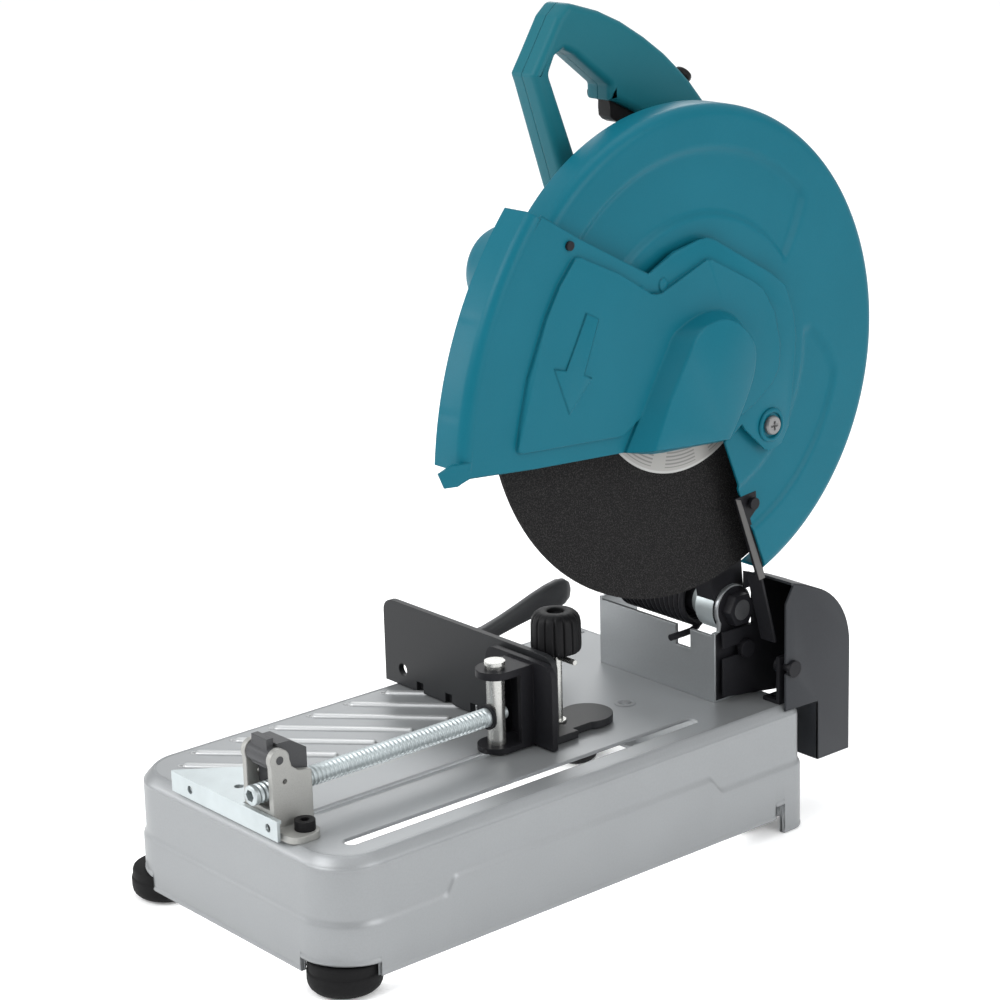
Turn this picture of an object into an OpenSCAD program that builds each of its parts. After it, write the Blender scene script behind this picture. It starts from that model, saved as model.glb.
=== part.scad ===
// Abrasive chop saw for 355 mm wheels. Lengths in mm.
// X runs to the operator's right, Y to the back, Z up, origin on the bench.

/* [Base] */
// Length of the pressed steel tray, front to back
base_length = 448.8; // [440:0.1:460]
// Width of the pressed steel tray
base_width = 257.6; // [250:0.1:266]
// Height of the tray's top face
base_height = 101.7; // [100:0.1:103]
// Sheet thickness of the tray
base_sheet = 2.5; // [1.6:0.1:4]
// Radius of the two front corners
front_corner_r = 38; // [30:1:44]
// Radius of the two rear corners
rear_corner_r = 13; // [8:1:18]
// Height of the diagonal stiffening ribs
rib_rise = 1.0; // [0.4:0.1:1.4]

/* [Wheel] */
// Outside diameter of the cut-off wheel
wheel_diameter = 355; // [340:1:355]
// Thickness of the cut-off wheel
wheel_thickness = 3; // [2.4:0.1:3.2]
// Bore of the cut-off wheel
wheel_bore = 25.4; // [25.4:0.1:25.4]

/* [Guard] */
// Outside radius of the fixed guard
guard_radius = 184.7; // [183:0.1:186]
// Sheet thickness of the guard
guard_sheet = 2; // [1.5:0.1:2.4]
// Depth of the pressed ring recess
recess_depth = 3; // [1:0.5:4]

/* [Safety cover] */
// Radius of the front band about the cover's pivot
band_radius = 294; // [290:1:297]
// Sheet thickness of the cover
cover_sheet = 2; // [1.5:0.1:2.2]

/* [Vise] */
// Outside diameter of the vise screw
screw_diameter = 14.5; // [13:0.1:14.6]
// Thickness of the vise plate
vise_plate_t = 5; // [3:0.5:5.5]
// Height of the guide plate above the base
fence_height = 68; // [55:1:70]

/* [Handle] */
// Width of the D handle across both halves
handle_width = 28; // [26:1:28]

/* [Hidden] */
$fn = 64;
shift_y = -38.95;
teal = [0.02, 0.42, 0.47];
black = [0.08, 0.08, 0.09];
grey = [0.55, 0.56, 0.57];
silver = [0.72, 0.73, 0.74];
zinc = [0.76, 0.8, 0.82];
dark = [0.3, 0.31, 0.33];
rubber = [0.12, 0.12, 0.12];
paper = [0.62, 0.61, 0.56];
copper = [0.7, 0.42, 0.25];
// deck: top face of the tray; half_w and half_l: half its width and length
deck = base_height;
half_w = base_width / 2;
half_l = base_length / 2;
// bevel between the tray's top face and its walls
bevel_w = 7;
bevel_h = 7.5;
// centre lines, each named after the piece that turns or sits on it
spindle_y = 123.2;
spindle_z = 383.7;
motor_y = 159.2;
motor_z = 410.1;
hinge_y = 194;
hinge_z = 174;
pivot_y = 188.6;
pivot_z = 327.2;
wheel_x = 98;
screw_x = 40;
screw_z = 129.5;
nut_y = -214;
nut_z = 156;
lever_x = -80;
lever_y = 47;
stop_x = 41;
stop_y = 51;
tag_y = 177.5;
tag_z = 268;
stud_y = -5.5;
stud_z = 489.5;
trigger_y = 103;
trigger_z = 584;
bolt_y = 211.9;
bolt_z = 131.4;
wall_bolt_y = 199.2;
wall_bolt_z = 141.7;
bracket_x = 68;
bracket_y = -204;
lock_y = spindle_y - 24;
FRONT_FEET = [[103.3, -202], [-111, -203.5]];
REAR_FEET = [[94, 188], [-94, 188]];
HANDLE_SCREWS = [[55, 624], [32, 597], [65, 500], [190, 500]];

// ---- helpers ----
module place() {
  translate([0, shift_y, 0]) children();
}

// sketch drawn as (Y, Z), extruded along X from a to b
module yz(a, b) {
  translate([a, 0, 0]) rotate([90, 0, 90]) linear_extrude(b - a) children();
}

// sketch drawn as (X, Z), extruded along Y from a to b
module xz(a, b) {
  translate([0, b, 0]) rotate([90, 0, 0]) linear_extrude(b - a) children();
}

// sketch drawn as (X, Y), extruded along Z from a to b
module xy(a, b) {
  translate([0, 0, a]) linear_extrude(b - a) children();
}

module rod_x(y, z, r, a, b) {
  translate([a, y, z]) rotate([0, 90, 0]) cylinder(r = r, h = b - a);
}

module rod_y(x, z, r, a, b) {
  translate([x, b, z]) rotate([90, 0, 0]) cylinder(r = r, h = b - a);
}

module rod_z(x, y, r, a, b) {
  translate([x, y, a]) cylinder(r = r, h = b - a);
}

module box(a, b) {
  translate(a) cube([b[0] - a[0], b[1] - a[1], b[2] - a[2]]);
}

// revolved section about an X axis, section drawn as (radius, X)
module spin_x(y, z) {
  translate([0, y, z]) rotate([0, 90, 0]) rotate_extrude($fn = 128) children();
}

module rounded(w, l, rf, rr) {
  difference() {
    square([w, l], center = true);
    for (s = [-1, 1]) {
      translate([s * (w / 2 - rf), -(l / 2 - rf)]) difference() {
        translate([s > 0 ? 0 : -rf - 1, -rf - 1]) square(rf + 1);
        circle(r = rf);
      }
      translate([s * (w / 2 - rr), l / 2 - rr]) difference() {
        translate([s > 0 ? 0 : -rr - 1, 0]) square(rr + 1);
        circle(r = rr);
      }
    }
  }
}

module slot2d(x, w, y0, y1) {
  translate([x, y0 + w / 2]) circle(d = w);
  translate([x, y1 - w / 2]) circle(d = w);
  translate([x - w / 2, y0 + w / 2]) square([w, y1 - y0 - w]);
}

// wedge from angle a to b (a < b, under 360) about the origin
module sector(a, b, r) {
  n = 12;
  polygon(concat([[0, 0]], [for (i = [0 : n]) [r * cos(a + (b - a) * i / n),
    r * sin(a + (b - a) * i / n)]]));
}

module hexagon(af) {
  circle(r = af / sqrt(3), $fn = 6);
}

// ---- base ----
// what a bevelled round corner of radius r leaves to cut off a square one
module corner_cut(r, top) {
  difference() {
    translate([0, 0, -2]) cube([r + 1, r + 1, top + 3]);
    translate([0, 0, -3]) cylinder(r = r, h = top + 3 - bevel_h);
    translate([0, 0, top - bevel_h]) cylinder(r1 = r, r2 = r - bevel_w, h = bevel_h);
    translate([0, 0, top]) cylinder(r = r - bevel_w, h = 2);
  }
}

module tray_solid(inset, top) {
  w = half_w - inset;
  l = half_l - inset;
  rf = front_corner_r - inset;
  rr = rear_corner_r - inset;
  difference() {
    intersection() {
      box([-w, -l, -1], [w, l, top]);
      xz(-half_l, half_l) polygon([[-w, -1], [w, -1], [w, top - bevel_h], [w - bevel_w, top],
        [-w + bevel_w, top], [-w, top - bevel_h]]);
      yz(-half_w, half_w) polygon([[-l, -1], [l, -1], [l, top - bevel_h], [l - bevel_w, top],
        [-l + bevel_w, top], [-l, top - bevel_h]]);
    }
    translate([w - rf, -l + rf, 0]) mirror([0, 1, 0]) corner_cut(rf, top);
    translate([-w + rf, -l + rf, 0]) rotate([0, 0, 180]) corner_cut(rf, top);
    translate([w - rr, l - rr, 0]) corner_cut(rr, top);
    translate([-w + rr, l - rr, 0]) mirror([1, 0, 0]) corner_cut(rr, top);
  }
}

module rib(x, y, l) {
  translate([x, y, deck]) rotate([0, 0, 43]) {
    translate([0, -3, -0.5]) cube([l, 6, rib_rise + 0.5]);
    for (e = [0, l]) translate([e, 0, -0.5]) cylinder(r = 3, h = rib_rise + 0.5);
  }
}

module base_tray() {
  color(grey) place() difference() {
    union() {
      difference() {
        tray_solid(0, deck);
        tray_solid(base_sheet, deck - base_sheet);
        box([-half_w - 1, -half_l - 1, -2], [half_w + 1, half_l - 24, 14]);
        box([-half_w + 24, half_l - 25, -2], [half_w - 24, half_l + 1, 14]);
        for (s = [-1, 1]) box([s * half_w - 4, half_l - 33, -2], [s * half_w + 4, half_l - 24, 26]);
      }
      // turned-in lower lip
      difference() {
        xy(14, 16.5) rounded(base_width - 4, base_length - 4, front_corner_r - 2, rear_corner_r - 2);
        xy(13, 18) rounded(base_width - 28, base_length - 28, front_corner_r - 12, 4);
      }
      // foot shelves
      for (p = FRONT_FEET) intersection() {
        tray_solid(1, deck);
        translate([p[0], p[1], 23]) cylinder(r = 31, h = 2.5);
      }
      for (s = [-1, 1]) box([s * 94 - 22, 165, 16.5], [s * 94 + 22, half_l - 1, 19]);
      for (s = [-1, 1]) box([s * 94 - 22, half_l - 12, 14], [s * 94 + 22, half_l - 1, 19]);
      // diagonal ribs
      for (i = [0 : 5]) rib(-108.8, 8.7 - 35.7 * i, 100);
      rib(-94, -191, 80);
      rod_z(36, 124, 8, deck - 8, deck + 0.6);
    }
    xy(deck - 20, deck + 4) {
      slot2d(wheel_x, 12, -193, 139);
      slot2d(40.5, 9, -178, 40);
    }
    rod_z(36, 124, 5, deck - 20, deck + 5);
    rod_z(-110.6, 215.5 - 6, 4, deck - 20, deck + 5);
    // wells for the front feet
    for (p = FRONT_FEET) rod_z(p[0], p[1], 26.9, -5, 23);
    box([-half_w - 1, -half_l - 1, -3], [half_w + 1, half_l + 1, 0.5]);
    // fixing holes
    for (p = concat(FRONT_FEET, REAR_FEET)) rod_z(p[0], p[1], 4.2, -5, 40);
    rod_z(bracket_x, bracket_y, 4, deck - 10, deck + 4);
    rod_z(lever_x, lever_y, 4.2, deck - 10, deck + 4);
    rod_z(stop_x, stop_y, 4.6, deck - 10, deck + 4);
    rod_z(110, 212, 3, deck - 10, deck + 4);
    for (x = [-30, 25, 65]) rod_z(x, 206, 4.2, deck - 10, deck + 4);
  }
}

module foot(p, r, h) {
  color(rubber) place() translate([p[0], p[1], 0]) difference() {
    union() {
      cylinder(r1 = r - 5, r2 = r, h = 3.5);
      translate([0, 0, 3.5]) cylinder(r = r, h = h - 3.5);
      translate([0, 0, h - 1]) cylinder(r = 4, h = 4.5);
      translate([0, 0, h + 2.5]) cylinder(r = 7, h = 3);
    }
    translate([0, 0, -1]) cylinder(r = 6, h = 6);
  }
}

module foot_front_right() {
  foot(FRONT_FEET[0], 26.5, 23);
}

module foot_front_left() {
  foot(FRONT_FEET[1], 26.5, 23);
}

module foot_rear_right() {
  foot(REAR_FEET[0], 18, 16.5);
}

module foot_rear_left() {
  foot(REAR_FEET[1], 18, 16.5);
}

module front_plate() {
  color(zinc) place() difference() {
    union() {
      xy(114.5, 117) polygon([[-63, -223], [65, -223], [65, -221.5], [20.8, -221.5],
        [20.8, -184], [-33.7, -184]]);
      box([-63, -225.2, deck], [65, -222.7, 117]);
      box([-60, -222.8, deck], [-20, -200, deck + 2.5]);
      box([-40, -222.7, deck], [-38, -200, 115]);
    }
    rod_z(-4.9, -207, 3.5, 110, 120);
    rod_y(54, 109, 3, -230, -215);
    rod_y(-40, 109, 3, -230, -215);
    rod_y(screw_x, screw_z, 9, -230, -180);
  }
}

module bracket_ear(a, b) {
  yz(a, b) difference() {
    union() {
      polygon([[-221, deck], [-188, deck], [-188, 142.7], [-199, 145], [-204.5, 149.5],
        [-206, 155], [-221.5, 155], [-221, 150]]);
      translate([nut_y, nut_z]) circle(r = 8);
    }
    translate([nut_y, nut_z]) circle(r = 3);
    translate([-210.6, 139.7]) circle(r = 1.8);
  }
}

module nut_bracket() {
  color(silver) place() difference() {
    union() {
      bracket_ear(22, 26.5);
      bracket_ear(51.5, 56.5);
      box([22, -221, deck], [56.5, -188, deck + 5]);
      difference() {
        xy(deck, deck + 5) {
          translate([56, -221]) square([14, 26]);
          translate([70, -212]) circle(r = 9);
          translate([70, -204]) circle(r = 9);
          translate([70, -212]) square([9, 8]);
        }
        rod_z(bracket_x, bracket_y, 3.9, 100, 110);
      }
      box([26, -221, deck], [52, -217, 120]);
    }
    rod_y(screw_x, screw_z, 7.7, -230, -180);
  }
}

module bracket_bolt() {
  color(black) place() {
    difference() {
      rod_z(bracket_x, bracket_y, 7.4, deck + 5, deck + 12);
      translate([bracket_x, bracket_y, deck + 9]) linear_extrude(6) hexagon(6);
    }
    rod_z(bracket_x, bracket_y, 3.9, deck - 8, deck + 5);
  }
}

module nut_pin() {
  color(dark) place() rod_x(nut_y, nut_z, 3, 22, 56.5);
}

module half_nut() {
  color(dark) place() difference() {
    union() {
      yz(27, 51) {
        translate([nut_y, nut_z]) circle(r = 7.5);
        polygon([[-211.5, 147.6], [-211.5, 132.5], [-187.5, 132.5], [-187.5, 157.3], [-200.5, 165.7],
          [-212, 166]]);
      }
      yz(30, 48) polygon([[-219, 149], [-213, 149], [-212.6, 169.8], [-218, 169.8]]);
    }
    rod_x(nut_y, nut_z, 3.05, 20, 60);
    rod_y(screw_x, screw_z, 7.65, -230, -170);
    box([screw_x - 7.65, -230, 120], [screw_x + 7.65, -170, screw_z]);
  }
}

module hinge_bracket() {
  color(silver) place() difference() {
    union() {
      box([-45, 173, deck], [84, 176, 155]);
      box([-45, 173, deck], [84, 228, deck + 4]);
      yz(81, 84) {
        translate([173, deck]) square([38, 56]);
        translate([hinge_y, hinge_z]) circle(r = 18);
        translate([178, 150]) square([32, 24]);
      }
      yz(-45, -42) {
        translate([173, deck]) square([38, 56]);
        translate([hinge_y, hinge_z]) circle(r = 18);
        translate([178, 150]) square([32, 24]);
      }
    }
    rod_x(hinge_y, hinge_z, 8, -60, 100);
    box([41.5, 170, 139], [57.7, 180, 160]);
    for (x = [-30, 25, 65]) rod_z(x, 206, 4.2, 95, 120);
    rod_x(wall_bolt_y, wall_bolt_z, 3.4, 75, 90);
  }
}

module hinge_shaft() {
  color(dark) place() {
    rod_x(hinge_y, hinge_z, 8, -46, 93);
    yz(-52, -45) translate([hinge_y, hinge_z]) hexagon(24);
  }
}

module hinge_nut() {
  color(black) place() yz(84, 93) difference() {
    translate([hinge_y, hinge_z]) hexagon(23);
    translate([hinge_y, hinge_z]) circle(r = 8);
  }
}

module torsion_spring() {
  color(black) place() {
    for (i = [0 : 14]) spin_x(hinge_y, hinge_z) translate([20.5, -24 + i * 5.2]) circle(r = 2.5, $fn = 24);
    rod_x(hinge_y - 20.5, hinge_z, 1.6, -24, 48.8);
    rod_y(48.8, hinge_z - 25, 3, 160, hinge_y);
  }
}

module guide_plate() {
  color(black) place() difference() {
    union() {
      xz(25, 30) difference() {
        union() {
          translate([-134, deck + 1.1]) square([200, fence_height - 10]);
          translate([-124, deck + 1.1]) square([180, fence_height]);
          for (x = [-124, 56]) translate([x, deck + fence_height - 9.2]) circle(r = 10);
        }
        translate([-112, 116]) circle(r = 5);
        for (x = [-95, -60, -30]) translate([x, deck]) square([8, 9]);
      }
      xy(deck + 1.1, deck + 6.8) {
        translate([21, 29]) square([45, 20]);
        translate([24, 45]) square([36, 30]);
        translate([43, 78]) circle(r = 20);
        translate([-110, 29]) square([60, 38]);
      }
    }
    rod_z(stop_x, stop_y, 4.05, deck - 5, 120);
    rod_z(lever_x, lever_y, 4.2, deck - 5, 120);
  }
}

module lever_bolt() {
  color(dark) place() {
    rod_z(lever_x, lever_y, 4.2, deck - 6, 140);
    rod_z(lever_x, lever_y, 9, deck + 6.8, 120);
    rod_z(lever_x, lever_y, 7, 145.3, 150);
    rod_z(lever_x, lever_y, 4.2, 139, 146);
  }
}

module clamp_lever() {
  color(dark) place() difference() {
    union() {
      rod_z(lever_x, lever_y, 12, 121, 145);
      translate([lever_x, lever_y, 0]) rotate([0, 0, 88]) {
        xz(-3.5, 3.5) polygon([[8, 128], [30, 132], [108, 143], [119, 147], [122, 155], [119, 165],
          [112, 169], [104, 168], [30, 146], [8, 142]]);
      }
    }
    rod_z(lever_x, lever_y, 4.25, 115, 150);
  }
}

module locating_pin() {
  color(zinc) place() {
    rod_z(stop_x, stop_y, 4, deck - 4, 170);
    rod_z(stop_x, stop_y, 6.5, deck + 7.2, deck + 8.6);
    rod_x(51, 160, 2.2, 41, 62);
  }
}

module pin_knob() {
  color(black) place() difference() {
    rod_z(stop_x, stop_y, 19, 165, 196);
    rod_z(stop_x, stop_y, 4, 160, 170);
    rod_z(stop_x, stop_y, 6, 193, 198);
    for (i = [0 : 15]) rotate_at(stop_x, stop_y, i * 22.5) translate([20, 0, 167])
      cylinder(r = 2.2, h = 24, $fn = 20);
  }
}

module rotate_at(x, y, a) {
  translate([x, y, 0]) rotate([0, 0, a]) children();
}

module trunnion_pin() {
  color(zinc) place() difference() {
    union() {
      rod_z(screw_x, -8, 6.8, 103, 170);
      rod_z(screw_x, -8, 7.8, 168.2, 171.4);
    }
    rod_y(screw_x, screw_z, 5.05, -20, 10);
  }
}

module vise_plate() {
  color(black) place() difference() {
    union() {
      xz(16, 16 + vise_plate_t) {
        translate([0, 103]) square([75, 55]);
        translate([10, 103]) square([55, 65]);
        for (x = [10, 65]) translate([x, 158]) circle(r = 10);
      }
      for (z = [[160.4, 166], [103.1, 107.4]]) xy(z[0], z[1]) {
        translate([screw_x, -8]) circle(r = 14.5);
        translate([screw_x - 14.5, -8]) square([29, 26]);
      }
      box([screw_x + 11, 4, 103], [screw_x + 14.5, 17, 166]);
      box([screw_x - 14.5, 4, 103], [screw_x - 11, 17, 166]);
    }
    rod_z(screw_x, -8, 6.86, 100, 175);
  }
}

module vise_screw() {
  color(zinc) place() difference() {
    union() {
      rod_y(screw_x, screw_z, screw_diameter / 2, -229, -17.4);
      rod_y(screw_x, screw_z, 5, -17.5, -0.2);
    }
    xz(-230, -216) translate([screw_x, screw_z]) hexagon(8);
  }
}

module screw_ring() {
  color(black) place() difference() {
    rod_y(screw_x, screw_z, 9.4, -17.4, -15.2);
    rod_y(screw_x, screw_z, 5, -20, -10);
  }
}

module spark_box() {
  color(dark) place() difference() {
    union() {
      yz(87.3, 89.3) polygon([[177, 107], [241, 107], [241, 49], [276, 49], [276, 136], [274.1, 150.8],
        [268.4, 164.5], [255.6, 179.7], [238.5, 189.6], [212, 199.3], [200, 203], [177, 165]]);
      yz(126, 128) polygon([[205.5, 98], [241, 98], [241, 49], [276, 49], [276, 136], [274.1, 150.8],
        [268.4, 164.5], [255.6, 179.7], [238.5, 189.6], [212, 199.3], [205.5, 196]]);
      yz(89, 127) {
        polygon([[274, 49], [276, 49], [276, 136], [274.1, 150.8], [268.4, 164.5], [255.6, 179.7],
          [238.5, 189.6], [212, 199.3], [211.3, 197.4], [237.8, 187.7], [254.4, 178.2], [266.6, 163.6],
          [272.1, 150.3], [274, 136]]);
        translate([241, 49]) square([35, 2]);
        translate([241, 49]) square([2, 58]);
      }
    }
    yz(80, 95) {
      translate([150, hinge_z - 15]) square([59, 30]);
      translate([140, 137.5]) square([63.5, 8.4]);
    }
    yz(120, 130) translate([200, 127]) square([17, 8.8]);
  }
}

module spark_tab() {
  color(silver) place() difference() {
    union() {
      box([118, 205, deck], [121, 219, 140]);
      box([104, 205, deck], [121, 219, deck + 3]);
    }
    rod_x(bolt_y, bolt_z, 3.4, 110, 125);
    rod_z(110, 212, 3, 100, 110);
  }
}

module spark_bolt() {
  color(black) place() {
    rod_x(bolt_y, bolt_z, 3.4, 114, 128.3);
    rod_x(bolt_y, bolt_z, 6.5, 128.3, 131.5);
    rod_x(bolt_y, bolt_z, 6, 114, 118);
    rod_x(wall_bolt_y, wall_bolt_z, 3.4, 76, 89.7);
    rod_x(wall_bolt_y, wall_bolt_z, 7, 89.7, 94);
    rod_x(wall_bolt_y, wall_bolt_z, 6, 76, 81);
  }
}

// ---- head ----
module swing_arm() {
  color(silver) place() difference() {
    union() {
      rod_x(hinge_y, hinge_z, 13, -41.5, 80.5);
      rod_x(hinge_y, hinge_z, 19, 62, 80.5);
      rod_x(hinge_y, hinge_z, 19, -41.5, -30);
      yz(62, 80) polygon([[hinge_y - 17, hinge_z + 6], [hinge_y + 14, hinge_z + 12],
        [hinge_y + 4, 300], [hinge_y + 8, 349], [hinge_y - 43, 349], [hinge_y - 40, 300]]);
    }
    rod_x(hinge_y, hinge_z, 8.05, -60, 100);
  }
}

module gear_housing() {
  color(silver) place() {
    difference() {
      union() {
        yz(56, 80) {
          translate([spindle_y, spindle_z]) circle(r = 43);
          polygon([[hinge_y - 50, 349.1], [hinge_y + 8, 349.1], [214, 400], [206, 440],
            [150, 474], [40, 474], [40, 462], [90, 415]]);
        }
        yz(30, 62) {
          translate([motor_y, motor_z]) circle(r = 50);
        }
        yz(38, 62) polygon([[38, 462], [110, 430], [200, 440], [200, 475], [38, 475]]);
        // back plate of the guard
        yz(80, 82.5) intersection() {
          translate([spindle_y, spindle_z]) circle(r = 173);
          translate([spindle_y, spindle_z]) sector(-50, 136, 260);
        }
        yz(82, 93.8) intersection() {
          translate([spindle_y, spindle_z]) difference() {
            circle(r = 173);
            circle(r = 165);
          }
          translate([spindle_y, spindle_z]) sector(-50, 136, 260);
        }
        yz(93.6, 95.2) intersection() {
          translate([spindle_y, spindle_z]) difference() {
            circle(r = guard_radius - guard_sheet, $fn = 128);
            circle(r = 165);
          }
          translate([spindle_y, spindle_z]) sector(-50, 136, 260);
        }
      }
      rod_x(spindle_y, spindle_z, 39, 57, 77);
      rod_x(motor_y, motor_z, 12, 57, 77);
      rod_x(motor_y, motor_z, 43, 25, 45);
      rod_x(motor_y, motor_z, 13, 40, 60);
      rod_x(spindle_y, spindle_z, 17.5, 70, 90);
      rod_x(spindle_y, spindle_z, 9, 50, 60);
      rod_x(lock_y, spindle_z, 4.1, 50, 60);
    }
  }
}

module motor_housing() {
  color(teal) place() difference() {
    union() {
      rod_x(motor_y, motor_z, 46, -100, 30);
      rod_x(motor_y, motor_z, 50, 22, 30);
      yz(-88, -60) translate([motor_y + 36, motor_z - 8]) square([14, 16]);
    }
    rod_x(motor_y, motor_z, 43, -110, 31);
    rod_z(-80, motor_y, 8, motor_z - 60, motor_z + 60);
    for (i = [0 : 3]) translate([-96 + i * 8, motor_y - 60, motor_z - 30]) cube([3, 25, 60]);
    yz(-82, -66) translate([motor_y + 34, motor_z]) square([20, 8]);
  }
}

module motor_end_cap() {
  color(teal) place() difference() {
    spin_x(motor_y, motor_z) polygon([[0, -145], [30, -145], [35, -140], [40, -128], [44, -116], [46, -104],
      [46, -100], [0, -100]]);
    spin_x(motor_y, motor_z) polygon([[0, -141], [28, -141], [32, -138], [37, -127], [41, -115], [43, -104],
      [43, -99], [0, -99]]);
    for (i = [0 : 7]) translate([-125, motor_y, motor_z]) rotate([i * 45, 0, 0]) translate([0, -1.5, 30])
      cube([16, 3, 20]);
  }
}

module brush_caps() {
  color(black) place() {
    for (s = [-1, 1]) translate([-80, motor_y, motor_z + s * 46]) rotate([s > 0 ? 0 : 180, 0, 0])
      difference() {
        translate([0, 0, -2.5]) cylinder(r = 8, h = 5.5);
        translate([-5, -1, 2.4]) cube([10, 2, 3]);
      }
  }
}

module stator() {
  color(copper) place() difference() {
    rod_x(motor_y, motor_z, 43, -70, 0);
    rod_x(motor_y, motor_z, 26, -80, 10);
  }
}

module armature() {
  color(copper) place() {
    rod_x(motor_y, motor_z, 5, -138, 57);
    rod_x(motor_y, motor_z, 25, -66, -4);
    rod_x(motor_y, motor_z, 14, -100, -76);
    difference() {
      rod_x(motor_y, motor_z, 7.7, 57, 74);
      for (i = [0 : 8]) translate([55, motor_y, motor_z]) rotate([i * 40, 0, 0]) translate([0, -0.9, 5.5])
        cube([22, 1.8, 4]);
    }
  }
}

module cooling_fan() {
  color(black) place() difference() {
    rod_x(motor_y, motor_z, 38, 4, 18);
    rod_x(motor_y, motor_z, 5, 0, 20);
    for (i = [0 : 15]) translate([8, motor_y, motor_z]) rotate([i * 22.5, 0, 0]) translate([0, 0, 16])
      cube([12, 5, 30]);
  }
}

module gear_wheel() {
  color(dark) place() difference() {
    rod_x(spindle_y, spindle_z, 36.4, 60, 74);
    rod_x(spindle_y, spindle_z, 10, 50, 80);
    for (i = [0 : 5]) translate([58, spindle_y, spindle_z]) rotate([i * 60, 0, 0]) translate([0, -24, 0])
      rotate([0, 90, 0]) cylinder(r = 5, h = 8);
    for (i = [0 : 41]) translate([59, spindle_y, spindle_z]) rotate([i * 60 / 7, 0, 0])
      translate([0, -1.2, 34]) cube([16, 2.4, 4]);
  }
}

module spindle() {
  color(silver) place() {
    rod_x(spindle_y, spindle_z, 8.5, 58, 60);
    rod_x(spindle_y, spindle_z, 10, 60, 91);
    rod_x(spindle_y, spindle_z, 8, 91, 107);
  }
}

module spindle_bearing() {
  color(zinc) place() difference() {
    rod_x(spindle_y, spindle_z, 17.5, 77.2, 86);
    rod_x(spindle_y, spindle_z, 10.05, 70, 90);
  }
}

module motor_bearings() {
  color(zinc) place() {
    difference() {
      rod_x(motor_y, motor_z, 13, 45, 55);
      rod_x(motor_y, motor_z, 5.05, 40, 60);
    }
    difference() {
      rod_x(motor_y, motor_z, 28, -141, -136);
      rod_x(motor_y, motor_z, 5.05, -142, -130);
    }
  }
}

module inner_flange() {
  color(silver) place() difference() {
    union() {
      rod_x(spindle_y, spindle_z, 35, 91, 96.5);
      rod_x(spindle_y, spindle_z, wheel_bore / 2, 96, 99);
    }
    rod_x(spindle_y, spindle_z, 8, 80, 110);
  }
}

module outer_flange() {
  color(silver) place() difference() {
    rod_x(spindle_y, spindle_z, 35, wheel_x + wheel_thickness / 2 + 0.5, 105);
    rod_x(spindle_y, spindle_z, 8, 80, 110);
  }
}

module wheel_bolt() {
  color(dark) place() {
    yz(107, 115) translate([spindle_y, spindle_z]) hexagon(17);
    difference() {
      rod_x(spindle_y, spindle_z, 14, 105, 107);
      rod_x(spindle_y, spindle_z, 8, 100, 110);
    }
  }
}

module abrasive_wheel() {
  color(black) place() difference() {
    rod_x(spindle_y, spindle_z, wheel_diameter / 2, wheel_x - wheel_thickness / 2,
      wheel_x + wheel_thickness / 2, $fn = 180);
    rod_x(spindle_y, spindle_z, wheel_bore / 2, 90, 110);
  }
}

module wheel_label() {
  color(paper) place() difference() {
    rod_x(spindle_y, spindle_z, 84, wheel_x + wheel_thickness / 2, wheel_x + wheel_thickness / 2 + 0.5);
    rod_x(spindle_y, spindle_z, wheel_bore / 2, 90, 110);
  }
}

module guard() {
  gs = guard_sheet;
  color(teal) place() difference() {
    union() {
      difference() {
        intersection() {
          spin_x(spindle_y, spindle_z) polygon([[68, 120.5 - gs], [176, 120.5 - gs], [180.5, 116.4],
            [guard_radius - gs, 111], [guard_radius - gs, 93.8], [guard_radius, 93.8],
            [guard_radius, 112.5], [182, 118.3], [176.7, 120.5], [68, 120.5]]);
          yz(60, 130) translate([spindle_y, spindle_z]) sector(-68, 143, 400);
        }
        yz(100, 130) intersection() {
          translate([spindle_y, spindle_z]) difference() {
            circle(r = 153);
            circle(r = 107);
          }
          translate([spindle_y, spindle_z]) sector(60, 142, 300);
        }
      }
      intersection() {
        spin_x(spindle_y, spindle_z) polygon([[105, 118.4], [107, 118.5 - recess_depth - gs + 1],
          [153, 118.5 - recess_depth - gs + 1], [155, 118.4], [155, 120.5], [152.6, 119.5],
          [151, 120.5 - recess_depth - 1 + 1], [109, 120.5 - recess_depth - 1 + 1],
          [107.4, 119.5], [105, 120.5]]);
        yz(60, 130) translate([spindle_y, spindle_z]) sector(58, 143, 400);
      }
    }
    rod_x(pivot_y, pivot_z, 6, 110, 130);
    rod_x(tag_y, tag_z, 2, 110, 125);
  }
}

module deflector() {
  color(dark) place() {
    difference() {
      yz(116.2, 118.2) polygon([[161.4, 274], [183, 276], [184, 262], [177, 256], [193, 206],
        [186.2, 205]]);
      rod_x(tag_y, tag_z, 2, 110, 125);
    }
    yz(103.5, 118.2) polygon([[187.6, 208], [189.6, 208.6], [205.5, 152], [203.5, 151.4]]);
  }
}

module deflector_screw() {
  color(black) place() {
    rod_x(tag_y, tag_z, 4.6, 120.5, 123);
    rod_x(tag_y, tag_z, 2, 116.2, 120.5);
  }
}

module cover_outline() {
  union() {
    polygon([[-33, 513.4], [4, 492.8], [41, 472.8], [67.8, 458.3], [117, 475.3], [125, 475.7],
        [133, 473], [189.3, 440.1], [205, 428.8], [212.6, 406], [215.5, 388], [211, 343],
        [207.9, 323], [200, 311], [188.6, 307.2], [182.6, 309.7], [161.3, 329.5], [158.8, 334],
        [146.5, 324], [68.8, 329], [41.6, 335.5], [-41.5, 340.6], [-98, 346], [-108, 342],
        [-119, 343], [-124, 354], [-112, 358], [-104.5, 354], [-104, 360], [-95, 396], [-82, 430],
        [-66, 463], [-50, 491]]);
    translate([spindle_y, spindle_z]) circle(r = 20);
  }
}

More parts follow.
